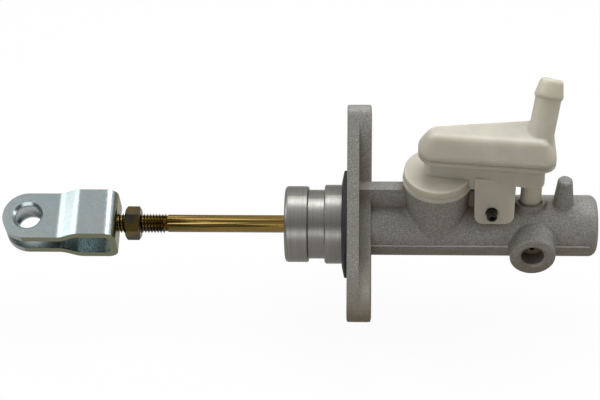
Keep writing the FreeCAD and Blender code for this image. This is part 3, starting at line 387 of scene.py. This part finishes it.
def machined_faces(finish, x, y):
    """One on the turned nose and on the faced ring round the port's mouth."""
    nose = finish.spread(x, *NOSE_TURNED, 1.0, 0.0)
    faced = finish.spread(y, *PORT_FACED, 1.0, 0.0)
    ring = finish.spread(finish.reach(PORT_X / MM), *PORT_RING, 1.0, 0.0)
    return finish.math("MAXIMUM", nose, finish.math("MULTIPLY", faced, ring))


def rubbed_flash(finish, x, y, z):
    """One on the parting line's ridge."""
    ridge = finish.math("MULTIPLY", finish.band(y, *FLASH_DEPTH), finish.band(z, *FLASH_HEIGHT))
    return finish.math("MULTIPLY", ridge, finish.spread(x, *FLANGE_FRONT))


def cast_aluminium(colours):
    """Grained casting with painted shade, browner and darker underneath and in its corners, and random brown
    stains, with a turned nose and a faced port.
    """
    finish = Finish("cast_aluminium")
    cast, turned = tuple(colours.casting), tuple(colours.turned)
    # Brown colour of the painted shade, also used for the random stains
    shade_and_stain = tinted(cast, (0.50, 0.43, 0.31))
    x, y, z = (finish.axis_value(axis) for axis in "XYZ")
    machined = machined_faces(finish, x, y)
    grain = finish.noise(1.5, 4.0, 0.7)
    sparkle = finish.noise(2.0, 2.0, 0.6)
    patches = finish.noise(0.10, 4.0, 0.6, distortion=0.4)
    mottled = finish.mix(finish.spread(patches, 0.32, 0.68), shade(cast, 0.90), shade(cast, 1.08))
    pitted = finish.mix(finish.spread(grain, 0.34, 0.62), shade(cast, 0.50), mottled)
    speckled = finish.mix(finish.spread(sparkle, 0.60, 0.74, 0.0, 0.9), pitted, shade(cast, 1.7))
    # Painted shade: darker and browner towards the underside and in corners that other faces close in, over
    # random brown stains
    shade_below_and_stains = finish.math("ADD", finish.spread(z, -9.0, 3.0, 0.85, 0.0),
                             finish.spread(patches, 0.45, 0.75, 0.0, 0.30))
    corner_shade = finish.spread(finish.corners(7.0), 0.45, 0.95, 0.85, 0.0)
    shaded_and_stained = finish.mix(finish.math("MAXIMUM", shade_below_and_stains, corner_shade), speckled, shade_and_stain)
    rubbed = finish.mix(rubbed_flash(finish, x, y, z), shaded_and_stained, shade(cast, 1.5))
    lines = finish.noise(1.0, 3.0, 0.7, vector=finish.stretched((5.0, 0.04, 0.04)))
    lathe = finish.mix(finish.spread(lines, 0.3, 0.7), shade(turned, 0.80), shade(turned, 1.14))
    finish.wire("Base Color", finish.mix(machined, rubbed, lathe))
    finish.wire("Metallic", finish.spread(machined, 0.0, 1.0, 0.2, 0.9))
    cast_gloss = finish.spread(grain, 0.3, 0.7, 0.66, 0.48)
    lathe_gloss = finish.spread(lines, 0.3, 0.7, 0.40, 0.30)
    finish.wire("Roughness", finish.blend(machined, cast_gloss, lathe_gloss))
    dimples = finish.math("MULTIPLY", finish.spread(finish.cells(0.6), 0.0, 0.5), 0.25)
    rough_cast = finish.math("ADD", finish.noise(1.2, 4.0, 0.66), dimples)
    grooves = finish.math("MULTIPLY", lines, 0.25)
    finish.bump(finish.blend(machined, rough_cast, grooves), 0.6, 0.22)


def nylon(colours):
    """Natural nylon: cloudy and slightly see-through, with the sheen of a moulding."""
    finish = Finish("nylon")
    body = tuple(colours.nylon)
    clouds = finish.noise(0.10, 3.0, 0.5)
    clouded = finish.mix(finish.spread(clouds, 0.35, 0.65), shade(body, 0.95), shade(body, 1.04))
    finish.wire("Base Color", clouded)
    finish.wire("Roughness", finish.spread(finish.noise(0.8, 4.0), 0.3, 0.7, 0.34, 0.46))
    finish.set("Metallic", 0.0)
    finish.set("Subsurface Weight", 0.9)
    finish.set("Subsurface Scale", 6.0 * MM)
    finish.set("Subsurface Radius", (1.0, 0.9, 0.72))
    finish.set("IOR", 1.53)
    finish.bump(finish.noise(0.55, 3.0), 0.18, 0.12)


def clear_zinc(colours):
    """Bright zinc plate with a drifting tint; the sheet's cut edges and the fork's base are darker and
    yellower, a yellow plating tint with painted shade.
    """
    finish = Finish("clear_zinc")
    base = tuple(colours.clear_zinc)
    # Painted shade with a yellow plating tint, for the cut edges and the fork's base
    yellow_edge_shade = tinted(base, (0.52, 0.50, 0.27))
    bluish = tinted(base, (0.92, 1.02, 1.06))
    across = finish.math("ABSOLUTE", finish.axis_value("Y", turned=FORK_TURN))
    cut_edge = finish.spread(across, *FORK_EDGE)
    base_rear, base_front = (FORK_BACK_X / MM - behind for behind in FORK_BASE)
    fork_base = finish.spread(finish.axis_value("X"), base_rear, base_front)
    tints = finish.noise(0.09, 3.0, 0.55, distortion=0.6)
    specks = finish.noise(1.1, 5.0, 0.75)
    fine = finish.noise(0.5, 4.0, 0.7)
    plated = finish.mix(finish.spread(tints, 0.36, 0.64), base, bluish)
    edge_shade_mask = finish.math("MULTIPLY", finish.math("MAXIMUM", cut_edge, fork_base), 0.85)
    with_edge_shade = finish.mix(edge_shade_mask, plated, yellow_edge_shade)
    bright_specks = finish.spread(specks, 0.60, 0.76, 0.0, 0.45)
    finish.wire("Base Color", finish.mix(bright_specks, with_edge_shade, shade(base, 1.5)))
    finish.wire("Roughness", finish.spread(fine, 0.25, 0.75, 0.20, 0.30))
    finish.set("Metallic", 1.0)
    finish.bump(specks, 0.10, 0.05)


def yellow_zinc(colours):
    """Yellow zinc plate along the rod's shank, and a darker, oily one on its thread and nut."""
    finish = Finish("yellow_zinc")
    base = tuple(colours.yellow_zinc)
    oily = tinted(base, (0.26, 0.36, 1.25))
    pinkish = tinted(base, (1.02, 0.88, 0.90))
    thread_front = NUT_FRONT_X / MM + THREAD_AHEAD_MM
    tints = finish.noise(0.12, 3.0, 0.55, distortion=0.6)
    fine = finish.noise(1.0, 3.0, 0.6, vector=finish.stretched((0.05, 1.6, 1.6)))
    plated = finish.mix(finish.spread(tints, 0.36, 0.64), base, pinkish)
    streaked = finish.mix(finish.spread(fine, 0.45, 0.65, 0.0, 0.35), plated, shade(base, 0.55))
    dulled = finish.mix(finish.spread(tints, 0.42, 0.58), oily, shade(base, 0.55))
    on_thread = finish.spread(finish.axis_value("X"), thread_front - 0.4, thread_front, 1.0, 0.0)
    finish.wire("Base Color", finish.mix(on_thread, streaked, dulled))
    finish.wire("Roughness", finish.spread(tints, 0.25, 0.75, 0.16, 0.24))
    finish.set("Metallic", 1.0)
    finish.bump(finish.noise(1.2, 3.0, 0.6), 0.06, 0.03)


def black_rubber(colours):
    """Matt rubber with a little dust."""
    finish = Finish("black_rubber")
    base = tuple(colours.rubber)
    finish.set("Metallic", 0.0)
    dust = finish.noise(0.9, 5.0, 0.7)
    finish.wire("Base Color", finish.mix(finish.spread(dust, 0.45, 0.75), base, shade(base, 2.4)))
    finish.wire("Roughness", finish.spread(dust, 0.3, 0.7, 0.52, 0.7))
    finish.bump(dust, 0.3, 0.08)


def plain_metal(name, base, roughness, grain_axis=(0.4, 2.0, 2.0), metallic=1.0):
    """A bare or blackened metal with fine drawing or turning lines."""
    finish = Finish(name)
    lines = finish.noise(1.0, 4.0, 0.65, vector=finish.stretched(grain_axis))
    spots = finish.noise(0.5, 4.0, 0.6)
    spotted = finish.mix(finish.spread(spots, 0.35, 0.65), shade(base, 0.82), shade(base, 1.1))
    finish.wire("Base Color", spotted)
    finish.wire("Roughness", finish.spread(lines, 0.3, 0.7, roughness, roughness + 0.12))
    finish.set("Metallic", metallic)
    finish.bump(lines, 0.15, 0.05)


FINISHES = (cast_aluminium, nylon, clear_zinc, yellow_zinc, black_rubber)
PLAIN_METALS = {
    "black_steel": {"base": (0.035, 0.033, 0.032), "roughness": 0.32, "metallic": 0.7},
    "spring_steel": {"base": (0.42, 0.42, 0.43), "roughness": 0.3},
    "brass": {"base": (0.30, 0.23, 0.12), "roughness": 0.34, "grain_axis": (2.0, 0.3, 2.0)},
    "piston_alloy": {"base": (0.62, 0.56, 0.40), "roughness": 0.34, "grain_axis": (5.0, 0.2, 0.2)},
}


# Steps that every modelled piece goes through


def start_piece():
    """Object mode with nothing selected, so the next operator acts on its own object alone."""
    if bpy.context.object is not None and bpy.context.object.mode != "OBJECT":
        bpy.ops.object.mode_set(mode="OBJECT")
    bpy.ops.object.select_all(action="DESELECT")


def select_only(piece):
    """Object mode with one piece selected and active."""
    start_piece()
    piece.select_set(True)
    bpy.context.view_layer.objects.active = piece


def pick(piece, test):
    """Select the vertices of a piece that pass a test, and leave it in edit mode."""
    select_only(piece)
    bpy.ops.object.mode_set(mode="EDIT")
    bpy.ops.mesh.select_mode(type="VERT")
    bpy.ops.mesh.select_all(action="DESELECT")
    bpy.ops.object.mode_set(mode="OBJECT")
    for vertex in piece.data.vertices:
        vertex.select = test(vertex)
    bpy.ops.object.mode_set(mode="EDIT")


def settle(piece, name, body, finish_slot, smooth=30.0):
    """Name a finished piece, put its place into its mesh, close it and hand it to a body."""
    select_only(piece)
    bpy.ops.object.transform_apply(location=True, rotation=True, scale=True)
    bpy.ops.object.mode_set(mode="EDIT")
    bpy.ops.mesh.select_all(action="SELECT")
    bpy.ops.mesh.remove_doubles(threshold=0.001 * MM)
    bpy.ops.mesh.normals_make_consistent(inside=False)
    bpy.ops.object.mode_set(mode="OBJECT")
    bpy.ops.object.shade_smooth_by_angle(angle=math.radians(smooth))
    piece.name = name
    piece.data.name = name
    piece.data.materials.clear()
    piece.data.materials.append(bpy.data.materials[finish_slot])
    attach(piece, body)
    return piece


def apply_modifier(piece, kind, **values):
    """Add a modifier, set it and apply it."""
    select_only(piece)
    made = piece.modifiers.new(kind.lower(), kind)
    for name, value in values.items():
        setattr(made, name, value)
    bpy.ops.object.modifier_apply(modifier=made.name)


def copy_node(node):
    """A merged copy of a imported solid, to be reworked as a piece of its own."""
    piece = frame["nodes"][node].copy()
    piece.data = frame["nodes"][node].data.copy()
    bpy.context.scene.collection.objects.link(piece)
    select_only(piece)
    bpy.ops.object.mode_set(mode="EDIT")
    bpy.ops.mesh.select_all(action="SELECT")
    bpy.ops.mesh.remove_doubles(threshold=0.001 * MM)
    bpy.ops.object.mode_set(mode="OBJECT")
    return piece


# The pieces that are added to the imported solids


def rod_core(shapes):
    """The push rod, with its threaded end turned down to the thread's root and its shank at full size."""
    piece = copy_node("push_rod")
    thread_front = NUT_FRONT_X + shapes.thread_ahead
    shank_end = -shapes.shank_end
    for place in (thread_front + THREAD_TAPER, shank_end, shank_end + SHANK_TAPER):
        bpy.ops.object.mode_set(mode="EDIT")
        bpy.ops.mesh.select_all(action="SELECT")
        bpy.ops.mesh.bisect(plane_co=(place, 0.0, 0.0), plane_no=(1.0, 0.0, 0.0))
        bpy.ops.object.mode_set(mode="OBJECT")

    def on_shank(vertex):
        return thread_front + SLACK < vertex.co.x < shank_end + SLACK

    def on_thread(vertex):
        return vertex.co.x < thread_front + SLACK and vertex.co.yz.length > shapes.thread_root

    drawn = max(vertex.co.yz.length for vertex in piece.data.vertices if on_shank(vertex))
    crest = max(vertex.co.yz.length for vertex in piece.data.vertices if vertex.co.x < thread_front - SLACK)
    for test, factor in ((on_thread, shapes.thread_root / crest), (on_shank, shapes.shank_radius / drawn)):
        pick(piece, test)
        bpy.ops.transform.resize(value=(1.0, factor, factor), center_override=(thread_front, 0.0, 0.0))
    return settle(piece, "rod_core", "push_rod", "yellow_zinc")


def rod_thread(shapes):
    """The rod's thread: a triangle wound along the rod and closed at both ends."""
    start_piece()
    thread_front = NUT_FRONT_X + shapes.thread_ahead
    reach = shapes.thread_pitch / math.sqrt(3)
    turns = int((thread_front - ROD_TIP_X) / shapes.thread_pitch) - 1
    start_x = thread_front - (turns + 0.5) * shapes.thread_pitch
    bpy.ops.mesh.primitive_circle_add(vertices=3, radius=reach, fill_type="NOTHING",
                                      location=(start_x, 0.0, shapes.thread_crest - reach),
                                      rotation=(math.pi / 2, 0.0, 0.0))
    piece = bpy.context.object
    bpy.ops.object.transform_apply(location=True, rotation=True, scale=True)
    apply_modifier(piece, "SCREW", axis="X", screw_offset=shapes.thread_pitch, iterations=turns,
                   steps=THREAD_STEPS, render_steps=THREAD_STEPS, angle=2 * math.pi,
                   use_smooth_shade=False)
    bpy.ops.object.mode_set(mode="EDIT")
    bpy.ops.mesh.select_all(action="SELECT")
    bpy.ops.mesh.fill_holes(sides=4)
    bpy.ops.object.mode_set(mode="OBJECT")
    settle(piece, "rod_thread", "push_rod", "yellow_zinc", 20.0)


def fade(distance, width):
    """Nought up to a border, and one from a width beyond it."""
    return min(1.0, max(0.0, distance / width))


def soft_cover(shapes):
    """The adapter's cover with the soft, melted-looking edges of a thick nylon moulding."""
    piece = copy_node("adapter_cover")
    spout = MOUNTS["hose_spout"]
    tip, axis = Vector(spout["pos_m"]), Vector(spout["axis"])
    rim_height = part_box("adapter_cover")[0][2] + shapes.cover_rim
    apply_modifier(piece, "REMESH", mode="VOXEL", voxel_size=shapes.cover_grain, use_smooth_shade=True)
    softened = piece.vertex_groups.new(name="softened")
    for vertex in piece.data.vertices:
        to_tip = vertex.co - tip
        along = to_tip.dot(axis)
        from_spout = (to_tip - axis * along).length - shapes.spout_keep
        above_rim = vertex.co.z - rim_height
        weight = fade(from_spout, SPOUT_FADE) * fade(above_rim, RIM_FADE)
        softened.add([vertex.index], weight, "REPLACE")
    apply_modifier(piece, "SMOOTH", factor=0.5, iterations=shapes.cover_passes, vertex_group="softened")
    return settle(piece, "soft_cover", "cylinder", "nylon", 80.0)


def coil_spring():
    """The return spring, copied as a piece of its own with the spring steel finish."""
    piece = settle(copy_node("return_spring"), "coil_spring", "cylinder", "spring_steel")
    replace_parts(piece, "return_spring")
    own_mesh(piece)


def parting_flash(name, front, rear, side, shapes):
    """A stretch of the casting's parting line: a low, slightly uneven ridge along the barrel."""
    start_piece()
    middle = ((front + rear) / 2, side * BARREL_RADIUS, 0.0)
    bpy.ops.mesh.primitive_cube_add(size=1.0, location=middle)
    piece = bpy.context.object
    bpy.ops.transform.resize(value=(front - rear, 2 * shapes.flash_high, shapes.flash_wide))
    bpy.ops.object.transform_apply(location=True, rotation=True, scale=True)
    bpy.ops.object.mode_set(mode="EDIT")
    bpy.ops.mesh.select_all(action="SELECT")
    bpy.ops.mesh.subdivide(number_cuts=FLASH_CUTS)
    bpy.ops.object.mode_set(mode="OBJECT")
    for vertex in piece.data.vertices:
        along = vertex.co.x / MM
        vertex.co.z += sum(height * MM * math.sin(along * rate) for height, rate in FLASH_WAVES)
        off_crown = abs(vertex.co.z) / shapes.flash_wide
        vertex.co.y -= side * shapes.flash_high * off_crown * FLASH_FALL
    settle(piece, name, "cylinder", "cast_aluminium", 60.0)


def ejector_marks(shapes):
    """The round marks that the die's ejector pins left on the flange's edge."""
    edge_normal = Vector((0, -1, 1)).normalized()
    edge_along = Vector((0, 1, 1)).normalized()
    turn = edge_normal.to_track_quat("Z", "Y").to_euler()
    for number, along in enumerate(EJECTOR_PLACES, start=1):
        start_piece()
        place = edge_normal * (FLANGE_HALF_WIDTH - EJECTOR_SUNK) + edge_along * along
        place.x = EJECTOR_X
        bpy.ops.mesh.primitive_torus_add(major_radius=shapes.ejector_radius, minor_radius=EJECTOR_RING,
                                         major_segments=40, minor_segments=8,
                                         location=place, rotation=turn)
        settle(bpy.context.object, "ejector_mark_%d" % number, "cylinder", "cast_aluminium", 60.0)


def assign_finishes(colours):
    """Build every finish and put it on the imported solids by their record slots."""
    for make in FINISHES:
        make(colours)
    for name, look in PLAIN_METALS.items():
        plain_metal(name, **look)
    for name, node in frame["nodes"].items():
        node.data.materials.clear()
        node.data.materials.append(bpy.data.materials[SLOT_OF[name]])


# Camera, lamps, background and floor


def camera_axes(stage):
    """The camera's right, up and back directions."""
    back = Vector((math.sin(stage.yaw) * math.cos(stage.elevation),
                   -math.cos(stage.yaw) * math.cos(stage.elevation), math.sin(stage.elevation)))
    level = Vector((0, 0, 1)).cross(back).normalized()
    upright = back.cross(level)
    right = level * math.cos(stage.roll) + upright * math.sin(stage.roll)
    up = upright * math.cos(stage.roll) - level * math.sin(stage.roll)
    return right, up, back


def add_camera(stage):
    """The camera, at the photograph's angle and scale."""
    right, up, back = camera_axes(stage)
    camera = bpy.data.cameras.new("camera")
    camera.sensor_width = SENSOR_WIDTH
    camera.lens = stage.pixels_per_mm / MM * stage.distance / stage.image_width * camera.sensor_width
    camera.clip_start = NEAREST_SEEN
    holder = bpy.data.objects.new("camera", camera)
    bpy.context.scene.collection.objects.link(holder)
    matrix = Matrix((right, up, back)).transposed().to_4x4()
    matrix.translation = Vector(stage.target) + back * stage.distance
    holder.matrix_world = matrix
    bpy.context.scene.camera = holder


def add_lamp(name, place, size, power, stage):
    """A rectangular lamp that faces the target from a place."""
    lamp = bpy.data.lights.new(name, "AREA")
    lamp.shape = "RECTANGLE"
    lamp.size, lamp.size_y = size
    lamp.energy = power
    holder = bpy.data.objects.new(name, lamp)
    bpy.context.scene.collection.objects.link(holder)
    holder.location = place
    holder.rotation_euler = (Vector(place) - Vector(stage.target)).to_track_quat("Z", "Y").to_euler()


def ray_share(tree, shares):
    """The largest share among the kinds of ray that reach a surface, and nought for other rays."""
    rays = tree.nodes.new("ShaderNodeLightPath")
    largest = None
    for kind, share in shares.items():
        weighed = tree.nodes.new("ShaderNodeMath")
        weighed.operation = "MULTIPLY"
        weighed.inputs[1].default_value = share
        tree.links.new(rays.outputs[kind], weighed.inputs[0])
        if largest is None:
            largest = weighed.outputs[0]
            continue
        joined = tree.nodes.new("ShaderNodeMath")
        joined.operation = "MAXIMUM"
        tree.links.new(largest, joined.inputs[0])
        tree.links.new(weighed.outputs[0], joined.inputs[1])
        largest = joined.outputs[0]
    return largest


def add_world(stage):
    """White where the camera looks, and a sky that is bright above and warm and dim below."""
    world = bpy.data.worlds.new("studio")
    bpy.context.scene.world = world
    world.use_nodes = True
    tree = world.node_tree
    place = tree.nodes.new("ShaderNodeTexCoord")
    height = tree.nodes.new("ShaderNodeVectorMath")
    height.operation = "DOT_PRODUCT"
    height.inputs[1].default_value = Vector(stage.sky_axis).normalized()
    tree.links.new(place.outputs["Generated"], height.inputs[0])
    strength = tree.nodes.new("ShaderNodeMapRange")
    strength.interpolation_type = "SMOOTHSTEP"
    limits = {"From Min": 0.0, "From Max": SKY_TOP, "To Min": stage.sky_low, "To Max": stage.sky_high}
    for name, number in limits.items():
        strength.inputs[name].default_value = number
    tree.links.new(height.outputs["Value"], strength.inputs["Value"])
    upward = tree.nodes.new("ShaderNodeMapRange")
    upward.inputs["From Min"].default_value, upward.inputs["From Max"].default_value = WARM_RANGE
    tree.links.new(height.outputs["Value"], upward.inputs["Value"])
    warmth = tree.nodes.new("ShaderNodeMix")
    warmth.data_type = "RGBA"
    for socket, tint in zip(COLOURS_IN, ((*stage.warm_low, 1.0), WHITE)):
        warmth.inputs[socket].default_value = tint
    tree.links.new(upward.outputs["Result"], warmth.inputs["Factor"])
    light = tree.nodes["Background"]
    tree.links.new(warmth.outputs[COLOUR_OUT], light.inputs["Color"])
    tree.links.new(strength.outputs["Result"], light.inputs["Strength"])
    white = tree.nodes.new("ShaderNodeBackground")
    white.inputs["Color"].default_value = WHITE
    white.inputs["Strength"].default_value = 1.0
    mix = tree.nodes.new("ShaderNodeMixShader")
    shares = {"Is Camera Ray": 1.0, "Is Glossy Ray": stage.gloss_share, "Is Transmission Ray": 1.0}
    tree.links.new(ray_share(tree, shares), mix.inputs["Fac"])
    tree.links.new(light.outputs[0], mix.inputs[1])
    tree.links.new(white.outputs[0], mix.inputs[2])
    tree.links.new(mix.outputs[0], tree.nodes["World Output"].inputs["Surface"])


def add_floor(stage):
    """A pale floor that keeps a faint shadow, and gives the object less light than it shows the camera."""
    start_piece()
    lowest = CAD_BOUNDS[0][2]
    bpy.ops.mesh.primitive_plane_add(size=FLOOR_SIZE, location=(0.0, 0.0, lowest - FLOOR_GAP))
    floor = bpy.context.object
    floor.name = "floor"
    material = bpy.data.materials.new("floor")
    material.use_nodes = True
    tree = material.node_tree
    shader = tree.nodes["Principled BSDF"]
    shader.inputs["Roughness"].default_value = 0.9
    shown = tree.nodes.new("ShaderNodeMix")
    shown.data_type = "RGBA"
    for socket, tint in zip(COLOURS_IN, (stage.floor_bounce, stage.floor_seen)):
        shown.inputs[socket].default_value = (*tint, 1.0)
    tree.links.new(ray_share(tree, {"Is Camera Ray": 1.0}), shown.inputs["Factor"])
    tree.links.new(shown.outputs[COLOUR_OUT], shader.inputs["Base Color"])
    glow = tree.nodes.new("ShaderNodeEmission")
    glow.inputs["Strength"].default_value = 1.0
    seen = 1.0 - stage.shadow_share
    mix = tree.nodes.new("ShaderNodeMixShader")
    shares = {"Is Camera Ray": seen, "Is Glossy Ray": stage.floor_gloss, "Is Transmission Ray": seen}
    tree.links.new(ray_share(tree, shares), mix.inputs["Fac"])
    tree.links.new(shader.outputs[0], mix.inputs[1])
    tree.links.new(glow.outputs[0], mix.inputs[2])
    tree.links.new(mix.outputs[0], tree.nodes["Material Output"].inputs["Surface"])
    floor.data.materials.append(material)


# The add-on's classes


class CYLINDER_OT_finishes(bpy.types.Operator):
    """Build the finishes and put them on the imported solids"""
    bl_idname = "cylinder.finishes"
    bl_label = "Finishes"

    def execute(self, context):
        assign_finishes(context.scene.cylinder_colours)
        return {"FINISHED"}


class CYLINDER_OT_rod(bpy.types.Operator):
    """Replace the plain push rod by one with a rolled thread"""
    bl_idname = "cylinder.rod"
    bl_label = "Push rod"

    def execute(self, context):
        shapes = context.scene.cylinder_shapes
        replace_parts(rod_core(shapes), "push_rod")
        rod_thread(shapes)
        return {"FINISHED"}


class CYLINDER_OT_spring(bpy.types.Operator):
    """Replace the return spring by a copy with a mesh of its own"""
    bl_idname = "cylinder.spring"
    bl_label = "Return spring"

    def execute(self, context):
        coil_spring()
        return {"FINISHED"}


class CYLINDER_OT_cover(bpy.types.Operator):
    """Replace the adapter's cover by one with softened edges"""
    bl_idname = "cylinder.cover"
    bl_label = "Adapter cover"

    def execute(self, context):
        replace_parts(soft_cover(context.scene.cylinder_shapes), "adapter_cover")
        return {"FINISHED"}


class CYLINDER_OT_casting_marks(bpy.types.Operator):
    """Add the casting's parting line and ejector marks"""
    bl_idname = "cylinder.casting_marks"
    bl_label = "Casting marks"

    def execute(self, context):
        shapes = context.scene.cylinder_shapes
        front = BARREL_END_X - FLASH_END
        parting_flash("parting_flash_rear", PORT_X - FLASH_PORT_GAP, FLANGE_THICK, -1, shapes)
        parting_flash("parting_flash_front", front, PORT_X + FLASH_PORT_GAP, -1, shapes)
        parting_flash("parting_flash_far", front, FLANGE_THICK, 1, shapes)
        ejector_marks(shapes)
        return {"FINISHED"}


class CYLINDER_OT_stage(bpy.types.Operator):
    """Set up the camera, lamps, floor and background"""
    bl_idname = "cylinder.stage"
    bl_label = "Stage"

    def execute(self, context):
        stage = context.scene.cylinder_stage
        context.scene.view_settings.view_transform = "Standard"
        add_camera(stage)
        add_world(stage)
        add_floor(stage)
        for name, (place, size, power) in LAMPS.items():
            add_lamp(name, place, size, getattr(stage, power), stage)
        return {"FINISHED"}


class CYLINDER_PT_panel(bpy.types.Panel):
    """The cylinder's operators and settings in the sidebar"""
    bl_label = "Clutch master cylinder"
    bl_idname = "CYLINDER_PT_panel"
    bl_space_type = "VIEW_3D"
    bl_region_type = "UI"
    bl_category = "Cylinder"

    def draw(self, context):
        for operator in STEPS:
            self.layout.operator(operator.bl_idname)
        for group in (context.scene.cylinder_colours, context.scene.cylinder_shapes,
                      context.scene.cylinder_stage):
            for name in group.__annotations__:
                self.layout.prop(group, name)


STEPS = (CYLINDER_OT_finishes, CYLINDER_OT_rod, CYLINDER_OT_spring, CYLINDER_OT_cover,
         CYLINDER_OT_casting_marks, CYLINDER_OT_stage)
GROUPS = {"cylinder_colours": CylinderColours, "cylinder_shapes": CylinderShapes,
          "cylinder_stage": CylinderStage}


def register():
    """Add the settings, the operators and the panel."""
    for group in GROUPS.values():
        bpy.utils.register_class(group)
    for name, group in GROUPS.items():
        setattr(bpy.types.Scene, name, PointerProperty(type=group))
    for cls in (*STEPS, CYLINDER_PT_panel):
        bpy.utils.register_class(cls)


def unregister():
    """Take away what register added."""
    for cls in reversed((*STEPS, CYLINDER_PT_panel)):
        bpy.utils.unregister_class(cls)
    for name in GROUPS:
        delattr(bpy.types.Scene, name)
    for group in reversed(list(GROUPS.values())):
        bpy.utils.unregister_class(group)


def main():
    """Build everything in order."""
    register()
    bpy.ops.cylinder.finishes()
    bpy.ops.cylinder.rod()
    bpy.ops.cylinder.spring()
    bpy.ops.cylinder.cover()
    bpy.ops.cylinder.casting_marks()
    bpy.ops.cylinder.stage()


if __name__ == "__main__":
    main()
